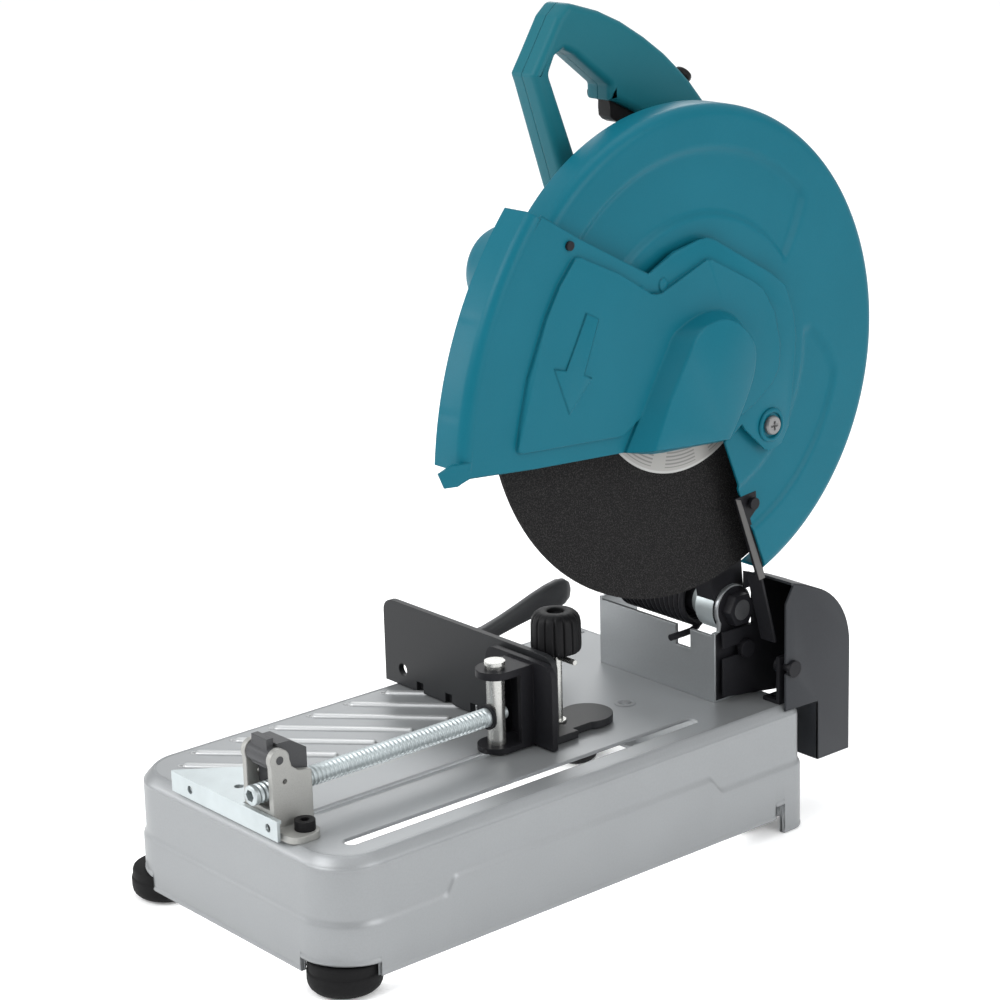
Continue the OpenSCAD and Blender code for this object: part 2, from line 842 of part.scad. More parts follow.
module bulge2d(e) {
  translate([spindle_y, spindle_z]) circle(r = 40.3 - e);
  polygon([[93.4 - 6 + e, 410.5 - e], [44.8 + e * 1.3, 347], [41.6 + e * 1.3, 320], [131 - e, 320],
    [131 - e, 331.5], [151 - e, 356], [spindle_y + 10, spindle_z], [spindle_y, spindle_z + 20]]);
}

module panel2d() {
  polygon([[-1, 482], [-16.6, 464], [-28.5, 444], [-46, 405], [-53.6, 373.5], [-58, 354.6],
    [39, 348.5], [60, 360], [100, 410], [150, 400], [166, 362], [150, 344], [155, 340.8],
    [169.8, 347.5], [187.9, 359.7], [194.6, 370], [194, 400], [178, 431], [166.6, 438.8],
    [123.6, 461.7], [72.3, 442], [38, 463.7]]);
}

module panel_in2d() {
  polygon([[-1, 479.6], [-14.8, 462.8], [-26.5, 443], [-44, 404.2], [-51.6, 373], [-55.4, 356.6],
    [38.4, 350.6], [58, 361], [99, 412], [151.5, 402], [168.4, 362], [154, 344.2], [155.4, 343],
    [168.8, 349.3], [186.2, 361], [192.6, 371], [192, 399.4], [176.6, 429.6], [165.6, 437],
    [123.4, 459.5], [72.2, 439.8], [37.4, 461.6]]);
}

module safety_cover() {
  cs = cover_sheet;
  color(teal) place() {
    difference() {
      yz(128 - cs, 128) difference() {
        cover_outline();
        bulge2d(2);
        panel_in2d();
      }
      rod_x(pivot_y, pivot_z, 8.05, 120, 130);
      rod_x(stud_y, stud_z, 3, 120, 130);
    }
    // raised panel, hollow behind
    difference() {
      yz(126, 131) difference() {
        panel2d();
        bulge2d(0.5);
      }
      yz(125, 129) difference() {
        panel_in2d();
        bulge2d(-2);
      }
    }
    yz(130.9, 132) polygon([[5.9, 441.8], [17.7, 435.4], [4.8, 398.8], [12, 396], [-11, 373.5],
      [-23.9, 408], [-12.2, 405.2]]);
    // hood over the wheel bolt
    intersection() {
      yz(126, 145) cover_outline();
      union() {
        yz(126, 143) difference() {
          bulge2d(0);
          bulge2d(2);
        }
        yz(143, 145) bulge2d(0);
      }
    }
    // front band
    intersection() {
      yz(98.5, 126) difference() {
        translate([pivot_y, pivot_z]) circle(r = band_radius, $fn = 200);
        translate([pivot_y, pivot_z]) circle(r = band_radius - cs, $fn = 200);
      }
      yz(90, 130) polygon([[-33, 513.4], [-90, 560], [-200, 480], [-200, 354], [-100, 353], [0, 440]]);
    }
  }
}

module pivot_screw() {
  color(zinc) place() difference() {
    union() {
      rod_x(pivot_y, pivot_z, 8, 120.5, 128.3);
      rod_x(pivot_y, pivot_z, 6, 112, 121.2);
      rod_x(pivot_y, pivot_z, 13, 128.3, 130);
    }
    translate([129, pivot_y - 5, pivot_z - 0.8]) cube([3, 10, 1.6]);
    translate([129, pivot_y - 0.8, pivot_z - 5]) cube([3, 1.6, 10]);
  }
}

module cover_screw() {
  color(black) place() {
    rod_x(stud_y, stud_z, 3.3, 128, 130);
    rod_x(stud_y, stud_z, 3, 124.5, 128);
  }
}

module handle2d() {
  difference() {
    polygon([[57, 641], [47, 632.5], [33, 610], [23, 594.5], [25.5, 588], [53, 503], [48, 475.2],
      [200, 475.2], [206, 500], [203, 520], [188.2, 557.6], [173.7, 574.2], [163.1, 584.2],
      [148.1, 597.3], [128.9, 610.7], [106.9, 623.6], [85.3, 633.1], [63.3, 639.5]]);
    polygon([[38, 594], [60, 537], [75, 502], [82, 490], [150, 490], [160, 500], [158, 530],
      [124, 556.8], [95, 569.4], [94, 580], [62, 605], [52, 610], [44, 606]]);
  }
}

module handle_pocket2d() {
  polygon([[70, 628], [84, 626], [104, 616], [125, 603.5], [144, 591], [159, 578], [169, 568],
    [176, 558], [182, 545], [176, 540], [164, 536], [148, 544], [99, 562], [99, 588], [75, 608]]);
}

module trigger_gap2d() {
  polygon([[94.5, 590], [98, 562], [92, 540], [158, 530], [156, 560], [130, 582], [100, 596]]);
}

module handle_half(a, b, pa, pb) {
  difference() {
    yz(a, b) handle2d();
    yz(pa, pb) handle_pocket2d();
    yz(42, 58) trigger_gap2d();
    translate([50, 175, 575]) rotate([-38, 0, 0]) cube([14, 22, 40], center = true);
  }
}

module handle_left() {
  color(teal) place() difference() {
    handle_half(50 - handle_width / 2, 50, 40, 51);
    for (p = HANDLE_SCREWS) rod_x(p[0], p[1], 2, 40, 51);
  }
}

module handle_right() {
  color(teal) place() difference() {
    handle_half(50, 50 + handle_width / 2, 49, 60);
    for (p = HANDLE_SCREWS) {
      rod_x(p[0], p[1], 2, 49, 70);
      rod_x(p[0], p[1], 4, 60, 70);
    }
  }
}

module handle_screws() {
  color(black) place() {
    for (p = HANDLE_SCREWS) {
      rod_x(p[0], p[1], 2, 42, 60);
      rod_x(p[0], p[1], 3.9, 60, 62);
    }
  }
}

module trigger() {
  color(black) place() difference() {
    yz(43, 57) polygon([[97, 586], [103, 590], [140, 566], [150, 556], [132, 553.5], [113, 551.1],
      [103, 554], [99.6, 557], [99.6, 568]]);
    rod_x(trigger_y, trigger_z, 2, 40, 60);
  }
}

module lock_off_button() {
  color(black) place() translate([50, 175, 575]) rotate([-38, 0, 0]) {
    box([-5.5, -7, -6], [5.5, 7, 7.5]);
    box([-5, -4, -14], [5, 4, -6]);
  }
}

module switch_body() {
  color(dark) place() {
    translate([50, 134, 590]) rotate([-35, 0, 0]) cube([18, 30, 10], center = true);
    rod_x(trigger_y, trigger_z, 1.95, 40, 60);
  }
}

module shaft_lock() {
  color(black) place() {
    rod_x(lock_y, spindle_z, 4.02, 46, 59.4);
    rod_x(lock_y, spindle_z, 8, 40, 46);
  }
}

module cable_inlet() {
  color(rubber) place() difference() {
    union() {
      rod_y(50, 458, 9, 200, 206);
      rod_y(50, 458, 7, 206, 212);
    }
    rod_y(50, 458, 4, 198, 215);
  }
}

base_tray();
foot_front_right();
foot_front_left();
foot_rear_right();
foot_rear_left();
front_plate();
nut_bracket();
bracket_bolt();
nut_pin();
half_nut();
hinge_bracket();
hinge_shaft();
hinge_nut();
torsion_spring();
guide_plate();
lever_bolt();
clamp_lever();
locating_pin();
pin_knob();
trunnion_pin();
vise_plate();
vise_screw();
screw_ring();
spark_box();
spark_tab();
spark_bolt();
swing_arm();
gear_housing();
motor_housing();
motor_end_cap();
brush_caps();
stator();
armature();
cooling_fan();
gear_wheel();
spindle();
spindle_bearing();
motor_bearings();
inner_flange();
outer_flange();
wheel_bolt();
abrasive_wheel();
wheel_label();
guard();
deflector();
deflector_screw();
safety_cover();
pivot_screw();
cover_screw();
handle_left();
handle_right();
handle_screws();
trigger();
lock_off_button();
switch_body();
shaft_lock();
cable_inlet();
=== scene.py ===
import math
import bmesh
import bpy
from mathutils import Matrix, Vector


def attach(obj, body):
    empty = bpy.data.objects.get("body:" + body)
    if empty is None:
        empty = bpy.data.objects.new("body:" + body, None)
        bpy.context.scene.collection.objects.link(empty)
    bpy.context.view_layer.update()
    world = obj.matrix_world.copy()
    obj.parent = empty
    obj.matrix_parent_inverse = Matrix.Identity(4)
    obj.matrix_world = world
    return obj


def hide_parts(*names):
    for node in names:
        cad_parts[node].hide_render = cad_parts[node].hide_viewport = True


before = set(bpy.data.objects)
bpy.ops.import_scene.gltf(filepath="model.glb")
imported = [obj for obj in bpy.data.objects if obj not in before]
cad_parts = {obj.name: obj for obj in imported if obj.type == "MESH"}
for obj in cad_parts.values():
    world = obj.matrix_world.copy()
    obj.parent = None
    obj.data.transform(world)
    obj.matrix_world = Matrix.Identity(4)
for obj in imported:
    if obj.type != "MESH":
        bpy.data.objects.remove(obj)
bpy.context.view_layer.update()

# Shapes are in millimetres in the CAD part's own axes; V() turns them into the frame's metres.
SHIFT_Y = -38.95
SPINDLE_Y, SPINDLE_Z = 123.2, 383.7
PIVOT_Y, PIVOT_Z = 188.6, 327.2      # the safety cover turns about this X axis
MOTOR_Y, MOTOR_Z = 159.2, 410.1
HINGE_Y, HINGE_Z = 194.0, 174.0      # the head turns about this X axis
DECK = 101.7                         # height of the tray's upper face
SCREW_X, SCREW_Z = 40, 129.5         # the vise screw's Y axis
KNOB_X, KNOB_Y = 41, 51              # the stop pin's Z axis
LEVER_X, LEVER_Y = -80, 47           # the clamp lever's Z axis


def V(x, y, z):
    """A point of the part's own axes, in the shared frame."""
    return Vector((x / 1000, (y + SHIFT_Y) / 1000, z / 1000))


# ---------------------------------------------------------------- materials
def new_mat(name):
    """An empty material with one principled shader: (material, node tree, shader)."""
    m = bpy.data.materials.new(name)
    m.use_nodes = True
    nt = m.node_tree
    nt.nodes.clear()
    out = nt.nodes.new("ShaderNodeOutputMaterial")
    b = nt.nodes.new("ShaderNodeBsdfPrincipled")
    nt.links.new(b.outputs[0], out.inputs[0])
    return m, nt, b


def N(nt, kind, **kw):
    """Adds a node; each keyword sets the input of that name, or else the property."""
    n = nt.nodes.new(kind)
    for k, v in kw.items():
        if k in n.inputs:
            n.inputs[k].default_value = v
        else:
            setattr(n, k, v)
    return n


ROUGH_VARY = 0.1                  # roughness moves this far either way
RAMP_FROM, RAMP_TO = 0.35, 0.7    # the part of the noise that carries the colour change


def surface(name, color, rough, metal, scale, vary, bump, stretch=None, edge=0.0012, spec=0.5,
            dist=0.0006):
    """A coated or bare surface: fine grain over broad patches, and soft edges of radius edge."""
    m, nt, b = new_mat(name)
    tc = N(nt, "ShaderNodeTexCoord")
    mp = N(nt, "ShaderNodeMapping")
    if stretch:
        mp.inputs["Scale"].default_value = stretch
    nt.links.new(tc.outputs["Object"], mp.inputs["Vector"])
    fine = N(nt, "ShaderNodeTexNoise", Scale=scale, Detail=4.0, Roughness=0.6)
    big = N(nt, "ShaderNodeTexNoise", Scale=14.0, Detail=3.0, Roughness=0.5)
    nt.links.new(mp.outputs[0], fine.inputs["Vector"])
    nt.links.new(tc.outputs["Object"], big.inputs["Vector"])
    mixn = N(nt, "ShaderNodeMath", operation="ADD")
    nt.links.new(fine.outputs["Fac"], mixn.inputs[0])
    nt.links.new(big.outputs["Fac"], mixn.inputs[1])
    ramp = N(nt, "ShaderNodeValToRGB")
    e = ramp.color_ramp.elements
    lo = [max(0.0, c * (1 - vary)) for c in color]
    hi = [min(1.0, c * (1 + vary) + 0.002) for c in color]
    e[0].position = RAMP_FROM
    e[0].color = (*lo, 1)
    e[1].position = RAMP_TO
    e[1].color = (*hi, 1)
    half = N(nt, "ShaderNodeMath", operation="MULTIPLY")
    half.inputs[1].default_value = 0.5
    nt.links.new(mixn.outputs[0], half.inputs[0])
    nt.links.new(half.outputs[0], ramp.inputs["Fac"])
    nt.links.new(ramp.outputs["Color"], b.inputs["Base Color"])
    rr = N(nt, "ShaderNodeMapRange")
    rr.inputs["To Min"].default_value = max(0.02, rough - ROUGH_VARY)
    rr.inputs["To Max"].default_value = min(1.0, rough + ROUGH_VARY)
    nt.links.new(half.outputs[0], rr.inputs["Value"])
    nt.links.new(rr.outputs[0], b.inputs["Roughness"])
    b.inputs["Metallic"].default_value = metal
    b.inputs["Specular IOR Level"].default_value = spec
    bv = N(nt, "ShaderNodeBevel", samples=4)
    bv.inputs["Radius"].default_value = edge
    bp = N(nt, "ShaderNodeBump", Strength=bump, Distance=dist)
    nt.links.new(fine.outputs["Fac"], bp.inputs["Height"])
    nt.links.new(bv.outputs[0], bp.inputs["Normal"])
    nt.links.new(bp.outputs[0], b.inputs["Normal"])
    return m


# name, colour, roughness, metal, grain scale, colour variation, bump strength
TEAL = surface("teal paint", (0.002, 0.106, 0.150), 0.36, 0.0, 900, 0.05, 0.05, edge=0.0015,
               spec=0.13)
TEALP = surface("teal plastic", (0.002, 0.100, 0.130), 0.44, 0.0, 1400, 0.05, 0.08, edge=0.0015,
                spec=0.18)
STEEL = surface("pressed steel paint", (0.27, 0.28, 0.287), 0.42, 0.5, 700, 0.05, 0.03, edge=0.002)
ZINC = surface("zinc plate", (0.46, 0.505, 0.515), 0.40, 0.7, 60, 0.10, 0.04, edge=0.0008)
CAST = surface("cast metal", (0.34, 0.34, 0.325), 0.5, 0.6, 900, 0.10, 0.25, edge=0.0015,
               dist=0.0004)
SILVER = surface("silver sheet", (0.33, 0.345, 0.355), 0.36, 0.7, 500, 0.06, 0.04, edge=0.001)
BLACKM = surface("black coated steel", (0.010, 0.010, 0.012), 0.42, 0.0, 800, 0.2, 0.06,
                 edge=0.001, spec=0.14)
FENCE = surface("fence coating", (0.015, 0.016, 0.0175), 0.42, 0.0, 700, 0.15, 0.06, edge=0.001,
                spec=0.24)
DARK = surface("dark sheet", (0.023, 0.025, 0.029), 0.42, 0.0, 800, 0.10, 0.05, edge=0.001,
               spec=0.26)
DSTEEL = surface("dark steel", (0.060, 0.061, 0.064), 0.45, 0.2, 900, 0.15, 0.15, edge=0.001,
                 spec=0.2)
BLACKP = surface("black plastic", (0.0055, 0.0055, 0.0062), 0.46, 0.0, 1200, 0.2, 0.12, edge=0.001,
                 spec=0.14)
RUBBER = surface("rubber", (0.004, 0.004, 0.0045), 0.7, 0.0, 700, 0.2, 0.2, edge=0.002, spec=0.18)
COPPER = surface("copper winding", (0.45, 0.20, 0.09), 0.4, 0.7, 200, 0.2, 0.3, stretch=(1, 12, 12))
LEVER = surface("cast lever", (0.052, 0.053, 0.056), 0.40, 0.1, 900, 0.12, 0.12, edge=0.001,
                spec=0.45)
# the ribs' steel is lighter than the deck's: a painted highlight along the ribs
RIB_PAINTED_HIGHLIGHT = surface("rib steel with painted highlight", (0.46, 0.47, 0.475), 0.34, 0.55, 700, 0.04, 0.03, edge=0.001)
SCREW = surface("grey screw", (0.20, 0.20, 0.20), 0.34, 0.5, 300, 0.06, 0.02, edge=0.0006)
DEFL = surface("sheet edge", (0.09, 0.088, 0.086), 0.45, 0.1, 800, 0.1, 0.05, edge=0.001, spec=0.25)
CHROME = surface("bright screw", (0.50, 0.50, 0.48), 0.26, 0.9, 300, 0.06, 0.02, edge=0.0006)


def make_abrasive():
    """Dark bonded grain with faint moulding waves."""
    m, nt, b = new_mat("abrasive grain")
    tc = N(nt, "ShaderNodeTexCoord")
    vo = N(nt, "ShaderNodeTexVoronoi", Scale=1050.0)
    no = N(nt, "ShaderNodeTexNoise", Scale=620.0, Detail=8.0, Roughness=0.75)
    wv = N(nt, "ShaderNodeTexWave", Scale=95.0, Distortion=2.5)
    wv.inputs["Detail"].default_value = 2.0
    for n in (vo, no, wv):
        nt.links.new(tc.outputs["Object"], n.inputs["Vector"])
    mul = N(nt, "ShaderNodeMath", operation="MULTIPLY")
    nt.links.new(no.outputs["Fac"], mul.inputs[0])
    nt.links.new(vo.outputs["Distance"], mul.inputs[1])
    ramp = N(nt, "ShaderNodeValToRGB")
    e = ramp.color_ramp.elements
    e[0].position = 0.12
    e[0].color = (0.0045, 0.0045, 0.005, 1)
    e[1].position = 0.42
    e[1].color = (0.028, 0.027, 0.0265, 1)
    mid = e.new(0.25)
    mid.color = (0.010, 0.0098, 0.010, 1)
    nt.links.new(mul.outputs[0], ramp.inputs["Fac"])
    nt.links.new(ramp.outputs["Color"], b.inputs["Base Color"])
    b.inputs["Roughness"].default_value = 0.85
    b.inputs["Specular IOR Level"].default_value = 0.15
    add = N(nt, "ShaderNodeMath", operation="ADD")
    sc = N(nt, "ShaderNodeMath", operation="MULTIPLY")
    sc.inputs[1].default_value = 0.25
    nt.links.new(wv.outputs["Fac"], sc.inputs[0])
    nt.links.new(mul.outputs[0], add.inputs[0])
    nt.links.new(sc.outputs[0], add.inputs[1])
    bp = N(nt, "ShaderNodeBump", Strength=0.7, Distance=0.0006)
    nt.links.new(add.outputs[0], bp.inputs["Height"])
    nt.links.new(bp.outputs[0], b.inputs["Normal"])
    return m


ABR = make_abrasive()


LABEL_R = 0.085                   # radius that the label's colour rings are measured in
PRINT_FROM, PRINT_TO = 0.060, 0.080


def make_label():
    """A generic wheel label: rings of plain colour, with bars in place of print."""
    m, nt, b = new_mat("wheel label")
    tc = N(nt, "ShaderNodeTexCoord")
    sep = N(nt, "ShaderNodeSeparateXYZ")
    nt.links.new(tc.outputs["Object"], sep.inputs[0])
    c = V(0, SPINDLE_Y, SPINDLE_Z)

    def math_n(op, a, bb=None):
        n = N(nt, "ShaderNodeMath", operation=op)
        for i, v in enumerate((a, bb)):
            if v is None:
                continue
            if isinstance(v, (int, float)):
                n.inputs[i].default_value = v
            else:
                nt.links.new(v, n.inputs[i])
        return n.outputs[0]

    dy = math_n("SUBTRACT", sep.outputs["Y"], c.y)
    dz = math_n("SUBTRACT", sep.outputs["Z"], c.z)
    r = math_n("SQRT", math_n("ADD", math_n("MULTIPLY", dy, dy), math_n("MULTIPLY", dz, dz)))
    ramp = N(nt, "ShaderNodeValToRGB")
    ramp.color_ramp.interpolation = "CONSTANT"
    e = ramp.color_ramp.elements
    e[0].position = 0.0
    e[0].color = (0.30, 0.29, 0.26, 1)
    e[1].position = 0.40
    e[1].color = (0.10, 0.10, 0.10, 1)
    for p, col in ((0.43, (0.30, 0.295, 0.27, 1)), (0.66, (0.12, 0.12, 0.12, 1)),
                   (0.69, (0.32, 0.315, 0.30, 1)), (0.965, (0.42, 0.42, 0.41, 1))):
        x = e.new(p)
        x.color = col
    nt.links.new(math_n("MULTIPLY", r, 1 / LABEL_R), ramp.inputs["Fac"])
    ang = math_n("ARCTAN2", dz, dy)
    bars = math_n("GREATER_THAN", math_n("SINE", math_n("MULTIPLY", ang, 11.0)), -0.55)
    rows = math_n("GREATER_THAN", math_n("SINE", math_n("MULTIPLY", r, 2300.0)), 0.25)
    bars = math_n("MULTIPLY", bars, rows)
    band = math_n("MULTIPLY", math_n("GREATER_THAN", r, PRINT_FROM),
                  math_n("LESS_THAN", r, PRINT_TO))
    fac = math_n("MULTIPLY", math_n("MULTIPLY", bars, band), 0.6)
    mix = N(nt, "ShaderNodeMix", data_type="RGBA")
    nt.links.new(fac, mix.inputs[0])
    nt.links.new(ramp.outputs["Color"], mix.inputs[6])
    mix.inputs[7].default_value = (0.09, 0.09, 0.09, 1)
    nt.links.new(mix.outputs[2], b.inputs["Base Color"])
    no = N(nt, "ShaderNodeTexNoise", Scale=900.0, Detail=3.0)
    nt.links.new(tc.outputs["Object"], no.inputs["Vector"])
    bp = N(nt, "ShaderNodeBump", Strength=0.15, Distance=0.0003)
    nt.links.new(no.outputs["Fac"], bp.inputs["Height"])
    nt.links.new(bp.outputs[0], b.inputs["Normal"])
    b.inputs["Roughness"].default_value = 0.6
    return m


LABEL = make_label()

NODE_MAT = {
    "base_tray": STEEL, "foot_front_right": RUBBER, "foot_front_left": RUBBER,
    "foot_rear_right": RUBBER, "foot_rear_left": RUBBER, "front_plate": ZINC, "nut_bracket": CAST,
    "bracket_bolt": BLACKP, "nut_pin": DSTEEL, "half_nut": DSTEEL, "hinge_bracket": SILVER,
    "hinge_shaft": DSTEEL, "hinge_nut": BLACKM, "torsion_spring": BLACKM, "guide_plate": FENCE,
    "lever_bolt": DSTEEL, "clamp_lever": DSTEEL, "locating_pin": CHROME, "pin_knob": BLACKP,
    "trunnion_pin": CHROME, "vise_plate": BLACKM, "vise_screw": ZINC, "screw_ring": BLACKM,
    # the swing arm's black is partly its own dark paint and partly painted shade from behind the
    # wheel
    "spark_box": DARK, "spark_tab": BLACKM, "spark_bolt": BLACKM, "swing_arm": BLACKM,
    "gear_housing": CAST, "motor_housing": TEALP, "motor_end_cap": TEAL, "brush_caps": BLACKP,
    "stator": COPPER, "armature": COPPER, "cooling_fan": BLACKP, "gear_wheel": DSTEEL,
    "spindle": CAST, "spindle_bearing": CHROME, "motor_bearings": CHROME, "inner_flange": CAST,
    "outer_flange": CAST, "wheel_bolt": DSTEEL, "abrasive_wheel": ABR, "wheel_label": LABEL,
    "guard": TEAL, "deflector": BLACKM, "deflector_screw": BLACKM, "safety_cover": TEAL,
    "pivot_screw": CHROME, "cover_screw": BLACKM, "handle_left": TEALP, "handle_right": TEALP,
    "handle_screws": BLACKM, "trigger": BLACKP, "lock_off_button": BLACKP, "switch_body": BLACKP,
    "shaft_lock": BLACKP, "cable_inlet": RUBBER,
}
for node, mat in NODE_MAT.items():
    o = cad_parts[node]
    o.data.materials.clear()
    o.data.materials.append(mat)


# ---------------------------------------------------------------- mesh helpers
def link(name, data):
    """A new object in the scene."""
    o = bpy.data.objects.new(name, data)
    bpy.context.scene.collection.objects.link(o)
    return o


def finish_mesh(bm, name, mat, body, replaces=(), smooth=35):
    """Makes the object, lets it ride its body and hides the CAD pieces that it replaces."""
    bmesh.ops.remove_doubles(bm, verts=bm.verts, dist=1e-6)
    bmesh.ops.recalc_face_normals(bm, faces=bm.faces)
    me = bpy.data.meshes.new(name)
    bm.to_mesh(me)
    bm.free()
    o = link(name, me)
    me.materials.append(mat)
    for p in me.polygons:
        p.use_smooth = True
    me.set_sharp_from_angle(angle=math.radians(smooth))
    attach(o, body)
    if replaces:
        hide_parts(*replaces)


def arc(cy, cz, r, a0, a1, n):
    """n + 1 points of a circle's arc between two angles in degrees."""
    return [(cy + r * math.cos(math.radians(a0 + (a1 - a0) * i / n)),
             cz + r * math.sin(math.radians(a0 + (a1 - a0) * i / n))) for i in range(n + 1)]


def round_poly(pts, radii, n=5):
    """Rounds the corners of a polygon; radii is one number or one per point."""
    out = []
    k = len(pts)
    for i, p in enumerate(pts):
        r = radii[i] if isinstance(radii, (list, tuple)) else radii
        a = Vector(pts[i - 1])
        b = Vector(p)
        c = Vector(pts[(i + 1) % k])
        u = (a - b)
        v = (c - b)
        la, lc = u.length, v.length
        u.normalize()
        v.normalize()
        ang = u.angle(v)
        if r <= 0 or ang > math.radians(174):
            out.append((b.x, b.y))
            continue
        d = min(r / math.tan(ang / 2), la * 0.45, lc * 0.45)
        for j in range(n + 1):
            t = j / n
            q0 = b + u * d * (1 - t)
            q1 = b + v * d * t
            q = q0.lerp(q1, t)
            out.append((q.x, q.y))
    return out


def prism(bm, pts, x0, x1, hi=0.0, lo=0.0, seg=4):
    """Extrudes a (Y, Z) outline along X; hi and lo round the edges of the far and near face."""
    v0 = [bm.verts.new(V(x0, y, z)) for y, z in pts]
    v1 = [bm.verts.new(V(x1, y, z)) for y, z in pts]
    f0 = bm.faces.new(v0)
    f1 = bm.faces.new(list(reversed(v1)))
    n = len(pts)
    for i in range(n):
        j = (i + 1) % n
        bm.faces.new((v0[i], v1[i], v1[j], v0[j]))
    if hi > 0:
        bmesh.ops.bevel(bm, geom=list(f1.edges), offset=hi / 1000, segments=seg, profile=0.5,
                        affect="EDGES", clamp_overlap=True)
    if lo > 0 and f0.is_valid:
        bmesh.ops.bevel(bm, geom=list(f0.edges), offset=lo / 1000, segments=seg, profile=0.5,
                        affect="EDGES", clamp_overlap=True)


def grid(bm, rows, close_u=False, close_v=False):
    """Faces over a list of rows of points."""
    vs = [[bm.verts.new(p) for p in row] for row in rows]
    nr = len(vs)
    nc = len(vs[0])
    for i in range(nr if close_u else nr - 1):
        for j in range(nc if close_v else nc - 1):
            a = vs[i][j]
            b = vs[(i + 1) % nr][j]
            c = vs[(i + 1) % nr][(j + 1) % nc]
            d = vs[i][(j + 1) % nc]
            bm.faces.new((a, b, c, d))
    return vs


def closed_body(bm, rows):
    """The surface over rows of points, each row a closed ring, with a face at either end."""
    vs = grid(bm, rows, close_v=True)
    bm.faces.new(vs[0])
    bm.faces.new(vs[-1])


def ring_z(x, y, r, z, n):
    """Points of a level circle."""
    return [V(x + r * math.cos(2 * math.pi * j / n), y + r * math.sin(2 * math.pi * j / n), z)
            for j in range(n)]


def sweep_x(bm, cy, cz, prof, a0, a1, n, fn=None):
    """Revolves a closed profile of (radius, X) about an X axis; fn may move its points."""
    rows = []
    full = abs(a1 - a0) >= 359.9
    for i in range(n + (0 if full else 1)):
        a = a0 + (a1 - a0) * i / n
        ca, sa = math.cos(math.radians(a)), math.sin(math.radians(a))
        row = []
        for r, x in prof:
            if fn:
                r, x = fn(a, r, x)
            row.append(V(x, cy + r * ca, cz + r * sa))
        rows.append(row)
    vs = grid(bm, rows, close_u=full, close_v=True)
    if not full:
        bm.faces.new(vs[0])
        bm.faces.new(list(reversed(vs[-1])))


def tube(bm, path, r, n):
    """A round wire along a path."""
    rows = []
    k = len(path)
    up = Vector((0.13, 0.37, 0.92)).normalized()
    for i, p in enumerate(path):
        t = (path[min(i + 1, k - 1)] - path[max(i - 1, 0)]).normalized()
        u = t.cross(up)
        if u.length < 1e-4:
            u = t.cross(Vector((1, 0, 0)))
        u.normalize()
        w = t.cross(u).normalized()
        rows.append([p + (u * math.cos(2 * math.pi * j / n) + w * math.sin(2 * math.pi * j / n)) * r
                     for j in range(n)])
    vs = grid(bm, rows, close_v=True)
    bm.faces.new(list(reversed(vs[0])))
    bm.faces.new(vs[-1])


def smooth01(t):
    """A smooth step from 0 to 1."""
    t = max(0.0, min(1.0, t))
    return t * t * (3 - 2 * t)


# ---------------------------------------------------------------- guard
def build_guard():
    """The guard's face, rim and lip, with two recesses pressed into the face."""
    bm = bmesh.new()
    rim, face, sheet, fillet = 184.7, 120.5, 2.0, 8.5
    eye, lip, wall_x = 68.0, 93.8, 105.0
    bend_r, bend_x = rim - fillet, face - fillet
    flat = [72 + i * 2.0 for i in range(52)]
    outer = [(eye, face)] + [(r, face) for r in flat] + arc(bend_r, bend_x, fillet, 90, 0, 8)
    outer += [(rim, wall_x), (rim, 95.5), (rim - 0.4, lip)]
    inner = [(rim - sheet, lip), (rim - sheet, wall_x)]
    inner += arc(bend_r, bend_x, fillet - sheet, 0, 90, 8)
    inner += [(r, face - sheet) for r in reversed(flat)] + [(eye, face - sheet)]
    front_deep, rear_deep = 2.9, 2.4

    def press(a, r, x):
        d = 0.0
        if x > bend_x:
            # the long ring recess under the rim
            ring = smooth01((r - 105) / 5) * smooth01((155.5 - r) / 5)
            d -= front_deep * ring * smooth01((a - 44 + (155 - r) * 0.20) / 3.0)
            # the rear ring recess, whose upper end slants
            ring = smooth01((r - 107) / 4) * smooth01((147.5 - r) / 4)
            end = 4.6 - max(0.0, r - 116.6) * 0.532
            d -= rear_deep * ring * smooth01((end - a) / 3.0) * smooth01((a + 75) / 2.0)
        return r, x + d

    sweep_x(bm, SPINDLE_Y, SPINDLE_Z, outer + inner, -68, 143, 150, press)
    finish_mesh(bm, "guard_skin", TEAL, "head", ("guard",), 40)


build_guard()


# ---------------------------------------------------------------- safety cover
FRONT_R = 294.0                   # the front band, about the pivot
COVER_X = 128                     # the cover's outer face
COVER_TOP = [(4, 492.8), (41, 472.8), (67.8, 458.3), (92, 470.5), (117, 475.3), (125, 475.7),
             (133, 473), (189.3, 440.1), (205, 428.8), (212.6, 406), (215.5, 388), (211, 343),
             (207.9, 323), (200, 311), (188.6, 307.2), (182.6, 309.7), (161.3, 329.5), (158.8, 334),
             (146.5, 324), (68.8, 329), (41.6, 335.5), (-41.5, 340.6), (-98, 346), (-108, 342),
             (-119, 343), (-124, 354), (-112, 358), (-103.0, 354.6)]
# the hood's foot on the cover, and the edge of its flat face
HOOD_FOOT = [(41.6, 335.8), (52, 353), (63, 371.5), (79, 398.6), (86.5, 411), (98, 418),
             (111.3, 422.4), (122.3, 423.9), (136, 422.3), (149.5, 415), (158.5, 404.5),
             (163.2, 391), (162.5, 376), (156, 359), (144.5, 341), (134.5, 325.5), (100, 327.5),
             (68.8, 329.6)]
HOOD_FACE = [(56.1, 336.6), (64.5, 354), (72.9, 371.8), (89.5, 399.1), (97.0, 410.8), (105.6, 417),
             (115.9, 419.2), (123, 419.6), (131, 418), (140.9, 412.9), (150.7, 403.6),
             (156.5, 392.3), (155.4, 377.1), (149.2, 361.6), (138.4, 343), (130.0, 331.0),
             (100, 333), (72, 335.3)]
HOOD_CORNERS = (0, 15)


